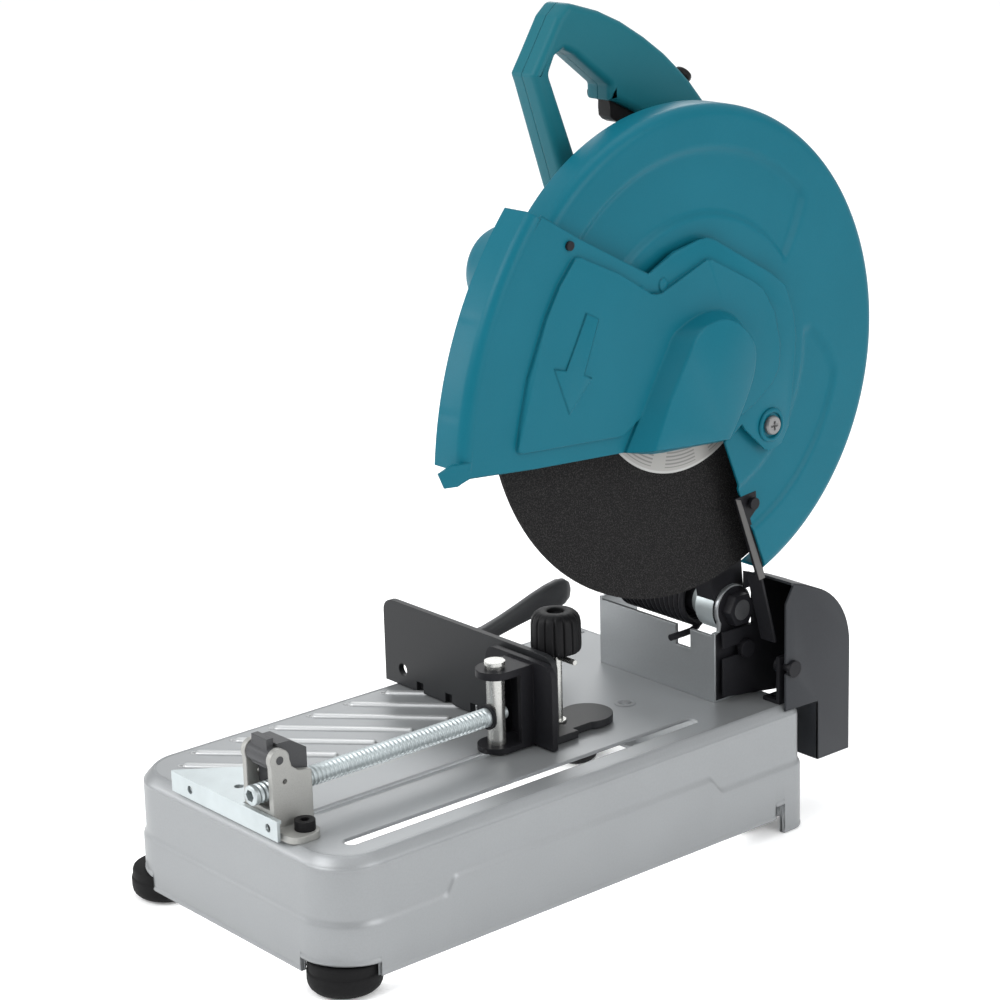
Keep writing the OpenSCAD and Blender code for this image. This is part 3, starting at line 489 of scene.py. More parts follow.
def curve(pts, n, corners=()):
    """Closed smooth curve through the points; it turns sharply at the corners."""
    out = []
    m = len(pts)
    for i in range(m):
        p1, p2 = pts[i], pts[(i + 1) % m]
        p0 = pts[i - 1] if i not in corners else p1
        p3 = pts[(i + 2) % m] if (i + 1) % m not in corners else p2
        for k in range(n):
            t = k / n
            a = ((-t + 2) * t - 1) * t
            b = (3 * t - 5) * t * t + 2
            c = ((-3 * t + 4) * t + 1) * t
            d = (t - 1) * t * t
            out.append(tuple((a * p0[q] + b * p1[q] + c * p2[q] + d * p3[q]) / 2 for q in (0, 1)))
    return out


def build_cover():
    """The safety cover: sheet, front band, raised panel, arrow, hood and two dimples."""
    bm = bmesh.new()
    fillet, sheet = 8.0, 2
    bend_r, bend_x = FRONT_R - fillet, COVER_X - fillet
    low_z, top_y, top_z = 356, -33, 513.4
    front = []
    for i in range(17):
        z = low_z + (top_z - low_z) * i / 16
        dz = z - PIVOT_Z
        front.append((PIVOT_Y - math.sqrt(max(0, bend_r * bend_r - dz * dz)), z))
    front.append((top_y + 6, 511.2))
    pts = front + COVER_TOP[:-1]
    pts = [p for i, p in enumerate(pts)
           if i == 0 or (Vector(p) - Vector(pts[i - 1])).length > 0.8]
    prism(bm, pts, COVER_X - sheet, COVER_X, hi=0.6, lo=0, seg=2)
    # the front band with its rounded edge
    prof = [(bend_r, COVER_X)] + arc(bend_r, bend_x, fillet, 90, 0, 8)[1:]
    prof += [(FRONT_R, 110), (FRONT_R, 98.9), (FRONT_R - 0.5, 98.5), (FRONT_R - sheet, 98.5),
             (FRONT_R - sheet, 110)]
    prof += arc(bend_r, bend_x, 6, 0, 90, 8)
    a0 = math.degrees(math.atan2(top_z - PIVOT_Z, top_y - PIVOT_Y))
    a1 = math.degrees(math.atan2(351 - PIVOT_Z, -106 - PIVOT_Y))

    dents, dent_x, dent_r, dent_deep = (141.2, 155.5, 168.5), 110, 5, 0.7
    per_degree = 5.1                 # millimetres along the band

    def dimple(a, r, x):
        """Three round dents in the band's outer face."""
        if r > FRONT_R - 1 and dent_x - 8 < x < dent_x + 8:
            for middle in dents:
                d = math.hypot((a - middle) * per_degree, x - dent_x)
                if d < dent_r:
                    r -= dent_deep * (1 - smooth01(d / dent_r))
        return r, x

    sweep_x(bm, PIVOT_Y, PIVOT_Z, prof, a0, a1, 90, dimple)
    # the raised panel
    panel = [(-1, 482), (-16.6, 464), (-28.5, 444), (-46, 405), (-53.6, 373.5), (-58, 354.6),
             (39, 348.5), (60, 360), (90, 400), (150, 400), (158, 372), (150, 344), (155, 340.8),
             (169.8, 347.5), (187.9, 359.7), (194.6, 370), (195.5, 388), (190, 412), (178, 431),
             (166.6, 438.8), (123.6, 461.7), (72.3, 442), (38, 463.7)]
    panel_radii = [5, 3, 0, 0, 0, 4, 6, 0, 0, 0, 0, 2, 2, 4, 5, 5, 3, 3, 4, 4, 8, 10, 4]
    prism(bm, round_poly(panel, panel_radii), COVER_X - 0.5, 131, hi=1.6, seg=3)
    # the arrow that shows which way the wheel turns
    arrow = [(5.9, 441.8), (17.7, 435.4), (2.0, 398.8), (10.5, 395.5), (-11, 373.5), (-23.9, 408),
             (-13.2, 404.2)]
    prism(bm, arrow, 130.5, 132.0, hi=0.7, seg=2)
    # the hood over the wheel's middle
    foot = curve(HOOD_FOOT, 4, HOOD_CORNERS)
    face = curve(HOOD_FACE, 4, HOOD_CORNERS)
    mid = (sum(q[0] for q in face) / len(face), sum(q[1] for q in face) / len(face))
    rows = []
    # (X, share of the way from foot to face, scale about the middle)
    for x, t, k in ((127.5, 0.0, 1.0), (130.6, 0.02, 1.0), (131.6, 0.10, 1.0), (141.4, 0.80, 1.0),
                    (143.4, 0.93, 1.0), (144.5, 1.0, 0.995), (145.0, 1.0, 0.97)):
        rows.append([V(x, *[mid[q] + (a[q] * (1 - t) + b[q] * t - mid[q]) * k for q in (0, 1)])
                     for a, b in zip(foot, face)])
    vs = grid(bm, rows, close_v=True)
    bm.faces.new(vs[-1])
    # stiffening dimples near the notch
    for (y, z, r) in ((60, 446, 5.5), (81, 449, 5.0)):
        c = [(y + r * 0.8 * math.cos(t * math.pi / 10), z + r * math.sin(t * math.pi / 10))
             for t in range(20)]
        prism(bm, c, 127.5, 129.2, hi=1.2, seg=2)
    finish_mesh(bm, "cover_skin", TEAL, "cover", ("safety_cover",), 32)


build_cover()

# ---------------------------------------------------------------- handle
H_OUT = [(57, 641), (47, 632.5), (33, 610), (23, 594.5), (25.5, 588), (53, 503), (48, 475.4),
         (199.5, 475.4), (206, 500), (203, 520), (188.2, 557.6), (173.7, 574.2), (163.1, 584.2),
         (148.1, 597.3), (128.9, 610.7), (106.9, 623.6), (85.3, 633.1), (63.3, 639.5)]
H_IN = [(38, 594), (60, 537), (75, 502), (82, 490), (150, 490), (160, 500), (158, 530),
        (124, 556.8), (100, 568.4), (94, 569.4), (94, 580), (62, 605), (52, 610), (44, 606)]


def inset(pts, d):
    """Moves a closed outline inwards by d, whichever way round it runs."""
    area = sum(pts[i - 1][0] * pts[i][1] - pts[i][0] * pts[i - 1][1] for i in range(len(pts)))
    s = 1 if area > 0 else -1
    out = []
    n = len(pts)
    for i in range(n):
        a = Vector(pts[i - 1])
        b = Vector(pts[i])
        c = Vector(pts[(i + 1) % n])
        u = (b - a).normalized()
        v = (c - b).normalized()
        nn = (Vector((-u.y, u.x)) + Vector((-v.y, v.x))) * s
        if nn.length < 1e-6:
            nn = Vector((-u.y, u.x)) * s
        nn.normalize()
        k = 1 / max(0.5, nn.dot(Vector((-u.y, u.x)) * s))
        out.append(tuple(b + nn * d * k))
    return out


def ring_prism(bm, outer, inner, x0, x1, rad, seg=6):
    """A slab with a hole; its edges at x1 are rounded by rad."""
    sgn = 1 if x1 > x0 else -1
    lo = []
    li = []
    for k in range(seg + 1):
        t = math.pi / 2 * k / seg
        ins = rad * (1 - math.cos(t))
        x = x1 - sgn * rad + sgn * rad * math.sin(t)
        lo.append([V(x, y, z) for y, z in inset(outer, ins)])
        li.append([V(x, y, z) for y, z in inset(inner, -ins)])
    lo.insert(0, [V(x0, y, z) for y, z in outer])
    li.insert(0, [V(x0, y, z) for y, z in inner])
    vo = grid(bm, lo, close_v=True)
    vi = grid(bm, li, close_v=True)
    for idx in (0, -1):
        es = [bm.edges.get((ring[i], ring[(i + 1) % len(ring)]))
              for ring in (vo[idx], vi[idx]) for i in range(len(ring))]
        bmesh.ops.triangle_fill(bm, edges=es, use_beauty=True)


H_OUT_R = round_poly(H_OUT, [8, 8, 10, 4, 4, 8, 0, 0, 6, 5, 0, 0, 0, 0, 0, 0, 0, 0], 4)
H_IN_R = round_poly(H_IN, [6, 3, 3, 4, 6, 6, 6, 4, 1.5, 1.5, 4, 3, 3, 4], 4)


def build_handle():
    """Two shells that meet at X 50, with a dark seam between them."""
    for name, x0, x1 in (("handle_right", 50.12, 64), ("handle_left", 49.88, 36)):
        bm = bmesh.new()
        ring_prism(bm, H_OUT_R, H_IN_R, x0, x1, 5.4)
        finish_mesh(bm, name + "_skin", TEALP, "head", (name,), 50)
    bm = bmesh.new()
    ring_prism(bm, inset(H_OUT_R, 0.5), inset(H_IN_R, -0.5), 49.5, 50.5, 0.1, 1)
    finish_mesh(bm, "handle_seam", BLACKP, "head")


build_handle()


# ---------------------------------------------------------------- motor end
def build_end():
    """The motor's turned end, as (radius, X)."""
    bm = bmesh.new()
    prof = [(0.01, -145), (20, -145), (29, -144.3), (33.5, -141.8), (35.5, -138), (37.5, -131),
            (40.5, -122), (43.5, -112), (45.6, -104), (46, -100.2), (43.5, -100.2), (43, -104),
            (41, -112), (38, -122), (34, -131), (31, -138), (0.01, -140)]
    sweep_x(bm, MOTOR_Y, MOTOR_Z, prof, 0, 360, 72)
    finish_mesh(bm, "motor_end_skin", TEAL, "head", ("motor_end_cap",), 40)


build_end()


# ---------------------------------------------------------------- vise screw
def build_screw():
    """The vise screw: a trapezoid thread, a plain tail and a hexagon socket in its front end."""
    bm = bmesh.new()
    pitch, r1, depth, n = 3.6, 7.25, 1.35, 28
    y0, y1 = -226.5, -19.5
    tip, tail, end = -229, -17.4, -0.3
    tail_r, socket_r, socket_end = 5.0, 4.6, -220

    def ring(r, y):
        return [V(SCREW_X + r * math.cos(2 * math.pi * j / n), y,
                  SCREW_Z + r * math.sin(2 * math.pi * j / n)) for j in range(n)]

    def hexagon(y):
        # each run of n / 6 points falls on one corner
        turns = [2 * math.pi * (j - j % 4.667) / n for j in range(n)]
        return [V(SCREW_X + socket_r * math.cos(a), y, SCREW_Z + socket_r * math.sin(a))
                for a in turns]

    rows = [hexagon(socket_end), hexagon(tip), ring(6.4, tip), ring(r1, -228.2)]
    steps = int((y1 - y0) / pitch * 8)
    for i in range(steps + 1):
        y = y0 + (y1 - y0) * i / steps
        fade = smooth01((y - y0) / 3) * smooth01((y1 - y) / 3)
        row = []
        for j in range(n):
            a = 2 * math.pi * j / n
            tri = abs(((y - y0) / pitch + j / n) % 1.0 - 0.5) * 2
            prof = min(1.0, max(0.0, tri * 1.7 - 0.35))
            r = r1 - depth * prof * fade
            row.append(V(SCREW_X + r * math.cos(a), y, SCREW_Z + r * math.sin(a)))
        rows.append(row)
    rows += [ring(r1, tail), ring(tail_r, tail), ring(tail_r, end)]
    closed_body(bm, rows)
    finish_mesh(bm, "vise_screw_thread", ZINC, "screw", ("vise_screw",), 45)


build_screw()


# ---------------------------------------------------------------- knob
def build_knob():
    """The stop pin's knob with its 16 grip notches."""
    bm = bmesh.new()
    rows = []
    radius, notch_deep, n = 19, 1.7, 144
    # (height, scale of the radius, share of the notch depth)
    levels = [(165, 0.80, 0), (165.2, 0.93, 0.3), (167, 0.99, 1), (171, 1.0, 1), (187, 0.985, 1),
              (190.5, 0.95, 0.9), (193, 0.88, 0.5), (195, 0.76, 0.1), (196, 0.60, 0),
              (196, 0.40, 0), (195.4, 0.34, 0), (192.5, 0.33, 0), (192.5, 0.02, 0)]
    for z, k, share in levels:
        row = []
        for j in range(n):
            a = 2 * math.pi * j / n
            w = abs(math.sin(a * 8))
            notch = 1.0 if w > 0.45 else smooth01(w / 0.45)
            r = radius * k - notch_deep * share * (1 - notch)
            row.append(V(KNOB_X + r * math.cos(a), KNOB_Y + r * math.sin(a), z))
        rows.append(row)
    closed_body(bm, rows)
    finish_mesh(bm, "pin_knob_skin", BLACKP, "stop_pin", ("pin_knob",), 40)


build_knob()


# ---------------------------------------------------------------- torsion spring
def build_spring():
    """The torsion spring: a coil about the hinge shaft, and the leg that leaves its right end."""
    bm = bmesh.new()
    turns, x0, x1, radius, wire = 14.0, -26.5, 48.8, 20.4, 0.0026
    steps = int(turns * 32)
    path = []
    for i in range(steps + 1):
        t = i / steps
        a = 2 * math.pi * turns * t - math.pi / 2
        path.append(V(x0 + (x1 - x0) * t,
                      HINGE_Y + radius * math.cos(a), HINGE_Z + radius * math.sin(a)))
    path += [V(x1, y, z) for y, z in ((189, 151.5), (183, 149.3), (175, 149.0), (160.5, 149.0))]
    tube(bm, path, wire, 12)
    finish_mesh(bm, "torsion_spring_coil", BLACKM, "base", ("torsion_spring",), 50)


build_spring()


# ---------------------------------------------------------------- small pieces at hinge and guard
def build_hub():
    """The swing arm's bright bushing about the hinge shaft, as (radius, X)."""
    bm = bmesh.new()
    prof = [(8.2, 80.6), (17.6, 80.6), (18.9, 80.2), (19.3, 79.0), (19.3, 61.7), (14, 61.7),
            (13.2, 55), (13.2, 52), (8.2, 52)]
    sweep_x(bm, HINGE_Y, HINGE_Z, prof, 0, 360, 72)
    finish_mesh(bm, "swing_arm_hub", ZINC, "head", (), 40)


build_hub()


def build_strip():
    """The deflector's lighter edge."""
    bm = bmesh.new()
    prism(bm, [(161.6, 273.8), (166.8, 272.2), (192.6, 206.2), (186.4, 205.4)], 118.2, 118.6)
    finish_mesh(bm, "deflector_edge", DEFL, "head", (), 40)


build_strip()


def build_ear_painted_shade():
    """A thin black sheet on the outer face of the hinge bracket's right ear: painted shade, where
    that face only looks dark from what it reflects.
    """
    bm = bmesh.new()
    pts = [(174.5, 103.5), (209.5, 103.5), (209.5, 158)] + arc(HINGE_Y, HINGE_Z, 16.8, -40, 216, 20)
    pts += [(179.5, 158), (174.5, 156)]
    prism(bm, pts, 84.0, 84.25)
    # this black sheet is painted shade on the ear's bright face
    finish_mesh(bm, "hinge_bracket_painted_shade", BLACKM, "base", (), 40)


build_ear_painted_shade()


# ---------------------------------------------------------------- pressed tray: walls and ribs
HALF_W, HALF_L = 128.8, 224.4
FRONT_CORNER, REAR_CORNER = 38.0, 13.0
HEM, FOOT_TOP = 14.2, 24.4
FRONT_FEET = ((103.3, -202), (-111, -203.5))
NOTCH_R = 27.5                    # the wall stays clear of a front foot by this much
STEP = 54.0                       # height of the pressed step at the ends of the tray
STEP_RISE = 12.5                  # and how much higher it runs along the sides
REAR_NOTCH = (191.4, 200.4)
REAR_LEG_X = 104.8


def hem_height(x, y):
    """Height of the tray's lower edge at a point of its outline."""
    if any(math.hypot(x - fx, y - fy) < NOTCH_R for fx, fy in FRONT_FEET):
        return FOOT_TOP
    if REAR_NOTCH[0] < y < REAR_NOTCH[1]:
        return FOOT_TOP
    if y >= REAR_NOTCH[1] and abs(x) > REAR_LEG_X:
        return 0.8
    return HEM


def step_height(x, y):
    """Height of the pressed step in the wall, which jogs up along the sides."""
    if abs(x) < HALF_W - 1:
        return STEP
    return STEP + STEP_RISE * smooth01((y + 133) / 9.6) * smooth01((135 - y) / 13.3)


def tray_outline():
    """Points of the tray's outline with their outward normals."""
    corners = ((HALF_W - FRONT_CORNER, FRONT_CORNER - HALF_L, FRONT_CORNER, -90),
               (HALF_W - REAR_CORNER, HALF_L - REAR_CORNER, REAR_CORNER, 0),
               (REAR_CORNER - HALF_W, HALF_L - REAR_CORNER, REAR_CORNER, 90),
               (FRONT_CORNER - HALF_W, FRONT_CORNER - HALF_L, FRONT_CORNER, 180))
    pts = []
    for cx, cy, r, a0 in corners:
        for i in range(21):
            a = math.radians(a0 + 90 * i / 20)
            pts.append((cx + r * math.cos(a), cy + r * math.sin(a), math.cos(a), math.sin(a)))
    out = []
    for i, p in enumerate(pts):
        q = pts[(i + 1) % len(pts)]
        d = math.dist(p[:2], q[:2])
        n = max(1, round(d / 3.0)) if d > 8 else 1
        for k in range(n):
            t = k / n
            out.append((p[0] + (q[0] - p[0]) * t, p[1] + (q[1] - p[1]) * t, p[2], p[3]))
    # two rows at nearly one place wherever the lower edge jumps
    rows = []
    for i, p in enumerate(out):
        rows.append(p)
        q = out[(i + 1) % len(out)]
        if abs(hem_height(*p[:2]) - hem_height(*q[:2])) > 1:
            lo, hi = 0.0, 1.0
            for _ in range(18):
                t = (lo + hi) / 2
                here = hem_height(p[0] + (q[0] - p[0]) * t, p[1] + (q[1] - p[1]) * t)
                same = here == hem_height(*p[:2])
                lo, hi = (t, hi) if same else (lo, t)
            for t in (lo, hi):
                rows.append((p[0] + (q[0] - p[0]) * t, p[1] + (q[1] - p[1]) * t, p[2], p[3]))
    return rows


def skirt_profile(step, hem):
    """Wall section as (distance out from the outline, height): down outside, up inside."""
    return [(-9.4, DECK - 0.5), (-9.3, DECK + 0.10), (-8.1, DECK + 0.12), (-6.9, DECK - 0.2),
            (-5.7, DECK - 1.1), (-2.4, DECK - 4.6), (-1.1, DECK - 6.1), (-0.25, DECK - 8.1),
            (0.25, DECK - 10.5), (0.4, step + 4.2), (0.5, step + 2.6), (1.1, step + 1.0),
            (2.0, step - 0.4), (2.5, step - 2.2), (2.6, hem + 4.8), (2.3, hem + 4.0),
            (2.3, hem + 3.4), (3.0, hem + 2.5), (3.1, hem + 1.0), (2.5, hem), (0.6, hem),
            (-1.4, hem + 0.2), (-1.4, step), (-1.4, DECK - 9), (-8.4, DECK - 2.8)]


def build_skirt():
    """The tray's pressed walls all round."""
    bm = bmesh.new()
    rows = []
    for x, y, nx, ny in tray_outline():
        prof = skirt_profile(step_height(x, y), hem_height(x, y))
        rows.append([V(x + nx * o, y + ny * o, z) for o, z in prof])
    grid(bm, rows, close_u=True, close_v=True)
    finish_mesh(bm, "tray_walls", STEEL, "base", (), 40)


build_skirt()


def build_ribs():
    """Slanting ribs pressed up from the deck, each with a small dimple at its outer end; both are
    in a steel lighter than the deck's, a painted highlight.
    """
    bm = bmesh.new()
    half, rise, ends = 3.7, 1.9, 10
    slant, spacing = math.radians(43), 35.7
    u = Vector((math.cos(slant), math.sin(slant)))
    w = Vector((-u.y, u.x))
    starts = [(-108.8, 8.7 - spacing * i, 100) for i in range(6)] + [(-94, -191, 80)]
    for x, y, length in starts:
        ring = []
        for c, t0 in ((0.0, 90), (length, -90)):
            for i in range(ends + 1):
                t = math.radians(t0 + 180 * i / ends)
                ring.append((c, math.cos(t), math.sin(t)))
        rows = []
        # (scale of the width, share of the rise)
        for k, z in ((1.0, -0.5), (1.0, 0.05), (0.86, 0.55), (0.66, 0.85), (0.42, 0.97),
                     (0.2, 1.0)):
            row = []
            for c, cu, cw in ring:
                q = Vector((x, y)) + u * (c + cu * half * k) + w * (cw * half * k)
                row.append(V(q.x, q.y, DECK + rise * z))
            rows.append(row)
        closed_body(bm, rows)
        q = Vector((x, y)) - u * 4.9
        closed_body(bm, [ring_z(q.x, q.y, r, DECK + z, 16)
                         for r, z in ((2.9, 0.02), (2.3, 0.30), (1.5, 0.30), (0.8, -0.1))])
    finish_mesh(bm, "tray_ribs", RIB_PAINTED_HIGHLIGHT, "base", (), 50)


build_ribs()


# ---------------------------------------------------------------- rubber feet
def build_foot(name, x, y, r, h):
    """A turned rubber foot of radius r and height h, with a grooved side."""
    bm = bmesh.new()
    prof = [(0.5, 3.0), (5.5, 3.0), (6.0, 0.3), (min(15, r - 7), 0.0), (r - 6.0, 0.7),
            (r - 3.4, 2.0), (r - 1.4, 4.0), (r - 0.4, 6.2), (r, 8.6),
            (r, h * 0.62), (r - 0.25, h * 0.66), (r - 1.1, h * 0.68), (r - 1.1, h * 0.90),
            (r - 1.8, h - 0.6), (r - 3.0, h), (0.5, h)]
    closed_body(bm, [ring_z(x, y, q, z, 72) for q, z in prof])
    finish_mesh(bm, name + "_skin", RUBBER, "base", (name,), 40)


FRONT_FOOT, REAR_FOOT = (26.5, 23), (18, 16.5)      # radius, height
build_foot("foot_front_right", *FRONT_FEET[0], *FRONT_FOOT)
build_foot("foot_front_left", *FRONT_FEET[1], *FRONT_FOOT)
build_foot("foot_rear_right", 94, 188, *REAR_FOOT)
build_foot("foot_rear_left", -94, 188, *REAR_FOOT)


# ---------------------------------------------------------------- screws with a cross recess
def cross_screw(name, mat, body, y, z, x, r, height, replaces=()):
    """A low head on an X axis whose outer face has a cross recess."""
    bm = bmesh.new()
    arm, wide, deep, n = r * 0.52, r * 0.14, height * 0.55, 64

    def plus(a, k):
        """Radius of a plus sign's outline at the angle a."""
        c, s_ = abs(math.cos(a)), abs(math.sin(a))
        big, small = max(c, s_), min(c, s_)
        reach = arm * k
        half = wide * k
        if small * reach <= half * big:
            return reach / big
        return min(half / small, reach / big)

    turns = [2 * math.pi * j / n for j in range(n)]
    prof = [(r * 0.98, 0.0), (r, height * 0.35), (r * 0.97, height * 0.72), (r * 0.86, height),
            (r * 0.62, height)]
    rows = [[V(x + h, y + q * math.cos(a), z + q * math.sin(a)) for a in turns] for q, h in prof]
    for k, h in ((1.0, height), (0.96, height - deep * 0.2), (0.55, height - deep)):
        rows.append([V(x + h, y + plus(a, k) * math.cos(a), z + plus(a, k) * math.sin(a))
                     for a in turns])
    closed_body(bm, rows)
    finish_mesh(bm, name, mat, body, replaces, 30)


cross_screw("pivot_screw_head", SCREW, "head", PIVOT_Y, PIVOT_Z, 128.4, 7.2, 3.6, ("pivot_screw",))


def build_pivot_ring():
    """A small bead round the pivot screw, as (radius, X)."""
    bm = bmesh.new()
    prof = [(9.4, 128.1), (9.4, 129.2), (9.9, 129.9), (10.8, 130.2), (11.8, 129.9), (12.6, 129.1),
            (12.9, 128.1)]
    sweep_x(bm, PIVOT_Y, PIVOT_Z, prof, 0, 360, 72)
    finish_mesh(bm, "pivot_ring", TEAL, "cover", (), 50)


build_pivot_ring()


# ---------------------------------------------------------------- switch lever and lock button
def build_trigger():
    """The switch lever under the handle's grip."""
    bm = bmesh.new()
    shape = [(97, 586), (103, 590), (140, 566), (150, 556), (141, 554.6), (132, 553.8),
             (122, 552.2), (113, 551.1), (107.5, 551.9), (103, 554), (99.9, 557), (99.4, 563),
             (99.6, 568)]
    radii = [2, 3, 2, 2, 0, 0, 0, 0, 2, 2, 2, 0, 0]
    prism(bm, round_poly(shape, radii, 3), 43.2, 56.8, hi=2.6, lo=2.6)
    finish_mesh(bm, "trigger_skin", BLACKP, "trigger_lever", ("trigger",), 40)


build_trigger()


def build_lock_button():
    """An oval cap on a neck; it slides along the direction that its axis has."""
    bm = bmesh.new()
    out = Vector((0, 0.61566, 0.78801))
    side = Vector((1, 0, 0))
    along = out.cross(side).normalized()
    centre = V(50, 175, 575)
    n = 40
    rows = []
    # (distance out along the axis, half width, half length)
    for d, a, b in ((-12, 3.4, 3.6), (-1.0, 3.4, 3.6), (0.6, 3.8, 4.2), (1.0, 5.2, 6.3),
                    (1.6, 5.8, 7.2), (3.2, 6.1, 7.6), (4.8, 5.9, 7.4), (6.2, 5.1, 6.6),
                    (7.0, 3.8, 5.0), (7.4, 1.8, 2.6), (7.5, 0.2, 0.2)):
        row = []
        for j in range(n):
            t = 2 * math.pi * j / n
            row.append(centre + out * (d / 1000) + side * (a * math.cos(t) / 1000)
                       + along * (b * math.sin(t) / 1000))
        rows.append(row)
    closed_body(bm, rows)
    finish_mesh(bm, "lock_off_button_skin", BLACKP, "lock_off", ("lock_off_button",), 50)


build_lock_button()


# ---------------------------------------------------------------- clamp lever
def build_lever():
    """The cast clamp lever: an arm that rises from a turned boss."""
    bm = bmesh.new()
    turn = math.radians(88)
    u = Vector((math.cos(turn), math.sin(turn)))
    w = Vector((-u.y, u.x))
    n = 24
    # (distance along, height of the middle, half height, half width)
    spine = ((2, 135, 7.5, 9.0), (10, 136, 7.4, 7.2), (20, 137.3, 7.0, 5.6), (34, 139.6, 6.8, 4.6),
             (50, 143.4, 7.4, 4.2), (66, 147.6, 8.4, 4.0), (82, 151.8, 9.8, 4.0),
             (96, 154.8, 11.0, 4.1),
             (108, 156.4, 11.8, 4.2), (115, 157.0, 10.6, 4.0), (119.6, 157.2, 7.2, 3.2),
             (121.6, 157.2, 2.6, 1.6))
    rows = []
    for d, zm, hh, hw in spine:
        row = []
        for j in range(n):
            t = 2 * math.pi * j / n
            c, s_ = math.cos(t), math.sin(t)
            cx = math.copysign(abs(c) ** 0.55, c) * hw
            cz = math.copysign(abs(s_) ** 0.75, s_) * hh
            q = Vector((LEVER_X, LEVER_Y)) + u * d + w * cx
            row.append(V(q.x, q.y, zm + cz))
        rows.append(row)
    closed_body(bm, rows)
    prof = [(4.3, 121), (10.8, 121), (12, 122.2), (12, 143.2), (10.8, 145), (4.3, 145)]
    rows = [ring_z(LEVER_X, LEVER_Y, r, z, 48) for r, z in prof]
    grid(bm, rows, close_u=True, close_v=True)
    finish_mesh(bm, "clamp_lever_skin", LEVER, "lever", ("clamp_lever",), 50)


build_lever()


# ---------------------------------------------------------------- spark box of bent sheet
BOX_Y, BOX_Z = 219, 136           # middle of the round rear corner


def spark_side(front):
    """Outline of a side wall: the given front edge, then the roof, rear and floor."""
    roof = [(214, 198.0), (226, 194.2)] + arc(BOX_Y, BOX_Z, 56.3, 70, 0, 12)
    return front + roof + [(275.3, 49), (241, 49), (241, 96), (240, 98)]


def build_spark_box():
    """Two side walls, with one bent strip for the roof and the rear wall; the left wall is black
    while the rest of the same sheet is dark grey, painted shade.
    """
    bm = bmesh.new()
    right = spark_side([(205.5, 98), (205.5, 128), (216, 128), (219, 129.3), (220.2, 132),
                        (219, 134.8), (216, 136), (205.5, 136), (205.5, 184)])
    left = spark_side([(177, 107), (177, 137.5), (199.2, 137.5), (202, 138.8), (203.4, 141.7),
                       (202, 144.6), (199.2, 145.9), (177, 145.9), (177, 158.8), (209.2, 158.8),
                       (209.2, 189), (200, 189), (200, 203)])
    prism(bm, right, 126, 128, hi=0.5, lo=0, seg=2)
    # the left wall is black where the rest of the sheet is dark grey: painted shade inside the box
    wall = bmesh.new()
    prism(wall, left, 87.3, 89.3, hi=0, lo=0.5, seg=2)
    finish_mesh(wall, "spark_box_left_wall_painted_shade", BLACKM, "spark_guard", (), 30)
    outer = [(211.4, 199.6), (214, 198.7), (226, 194.9)] + arc(BOX_Y, BOX_Z, 57, 70, 0, 12)
    inner = [(210.8, 197.8), (213.4, 196.9), (225.4, 193.1)] + arc(BOX_Y, BOX_Z, 55, 70, 0, 12)
    outer += [(276, 49), (241, 49), (241, 98)]
    inner += [(274, 51), (243, 51), (243, 98)]
    x0, x1 = 88, 127.6
    closed_body(bm, [[V(x0, *o), V(x1, *o), V(x1, *i), V(x0, *i)] for o, i in zip(outer, inner)])
    finish_mesh(bm, "spark_box_skin", DARK, "spark_guard", ("spark_box",), 30)


build_spark_box()


# ---------------------------------------------------------------- camera, light, floor
def make_camera():
    """The camera: where it stands in the part's axes, and its right and view directions."""
    data = bpy.data.cameras.new("camera")
    cam = link("camera", data)
    data.sensor_width = 36.0
    data.lens = 98.495
    data.clip_start = 0.05
    data.clip_end = 60.0
    right = Vector((0.6485, 0.7608, -0.0274)).normalized()
    view = Vector((-0.7344, 0.6159, -0.2852)).normalized()
    up = right.cross(view).normalized()
    rot = Matrix((right, up, -view)).transposed()
    cam.matrix_world = Matrix.Translation(V(1482.7, -1208.2, 851.4)) @ rot.to_4x4()
    bpy.context.scene.camera = cam


def make_floor():
    """A wide white floor that glows a little, so that it has no visible end."""
    half = 14.0
    me = bpy.data.meshes.new("floor")
    bm = bmesh.new()
    bm.faces.new([bm.verts.new((x, y, 0)) for x, y in
                  ((-half, -half), (half, -half), (half, half), (-half, half))])
    bm.to_mesh(me)
    bm.free()
    floor = link("floor", me)
    m, nt, b = new_mat("studio floor")
    tc = N(nt, "ShaderNodeTexCoord")
    no = N(nt, "ShaderNodeTexNoise", Scale=2.0, Detail=2.0)
    nt.links.new(tc.outputs["Object"], no.inputs["Vector"])
    ramp = N(nt, "ShaderNodeValToRGB")
    ramp.color_ramp.elements[0].color = (0.95, 0.95, 0.95, 1)
    ramp.color_ramp.elements[1].color = (0.97, 0.97, 0.97, 1)
    nt.links.new(no.outputs["Fac"], ramp.inputs["Fac"])
    nt.links.new(ramp.outputs["Color"], b.inputs["Base Color"])
    b.inputs["Roughness"].default_value = 0.9
    b.inputs["Emission Color"].default_value = (1.0, 1.0, 1.0, 1)
    b.inputs["Emission Strength"].default_value = 0.16
    me.materials.append(m)


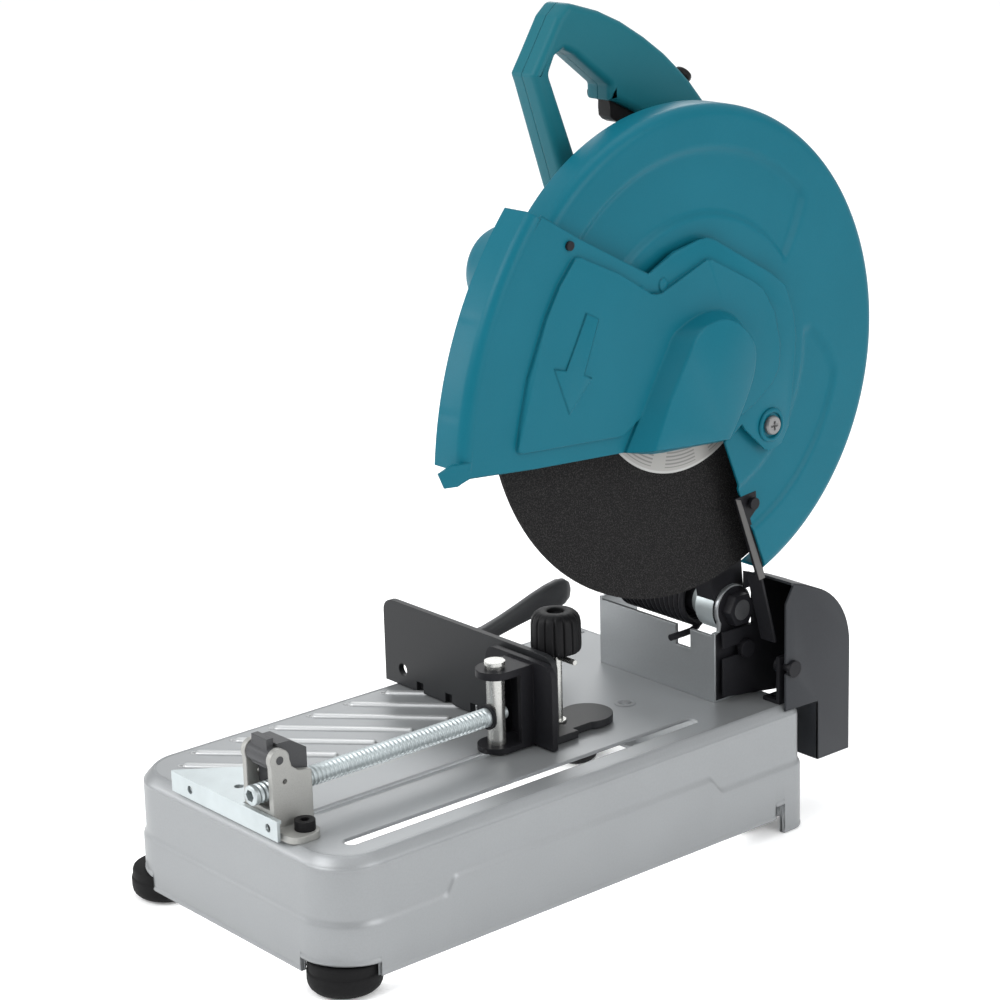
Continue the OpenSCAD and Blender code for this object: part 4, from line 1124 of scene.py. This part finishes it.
def make_world():
    """A soft tent: brightest overhead, dimmer low down, plain white where the camera sees it."""
    world = bpy.data.worlds.new("studio")
    bpy.context.scene.world = world
    world.use_nodes = True
    nt = world.node_tree
    bg = nt.nodes["Background"]
    direction = N(nt, "ShaderNodeTexCoord")
    split = N(nt, "ShaderNodeSeparateXYZ")
    nt.links.new(direction.outputs["Generated"], split.inputs[0])
    lift = N(nt, "ShaderNodeMapRange")
    for key, value in (("From Min", -0.25), ("From Max", 0.9), ("To Min", 0.30), ("To Max", 1.05)):
        lift.inputs[key].default_value = value
    nt.links.new(split.outputs["Z"], lift.inputs["Value"])
    seen = N(nt, "ShaderNodeLightPath")
    level = N(nt, "ShaderNodeMix")
    nt.links.new(seen.outputs["Is Camera Ray"], level.inputs[0])
    nt.links.new(lift.outputs[0], level.inputs[2])
    level.inputs[3].default_value = 1.0
    bg.inputs[0].default_value = (0.98, 0.99, 1.0, 1)
    nt.links.new(level.outputs[0], bg.inputs[1])


def area(name, loc, target, size, power):
    """A white rectangular light at loc that looks at target."""
    data = bpy.data.lights.new(name, "AREA")
    data.shape = "RECTANGLE"
    data.size, data.size_y = size
    data.energy = power
    o = link(name, data)
    o.location = loc
    away = (Vector(target) - Vector(loc)).normalized()
    o.rotation_euler = away.to_track_quat("-Z", "Y").to_euler()


make_camera()
make_floor()
make_world()
area("key", (-0.4, -2.2, 2.2), (0, 0, 0.3), (1.6, 1.2), 42)
area("side", (2.6, 0.5, 1.3), (0, 0, 0.2), (1.6, 1.6), 32)
area("top", (0.0, 0.2, 2.9), (0, 0, 0.3), (1.6, 1.6), 12)
area("left box", (-1.8, -1.7, 0.95), (0, 0, 0.35), (0.9, 0.9), 14)
area("rim", (-1.8, 1.6, 1.8), (0, 0, 0.3), (1.2, 1.2), 14)
# a small panel under the deck, so the floor shows white through the slots
area("under tray", tuple(V(20, -20, 88)), tuple(V(20, -20, 0)), (0.20, 0.36), 0.9)

bpy.context.scene.view_settings.view_transform = "Standard"
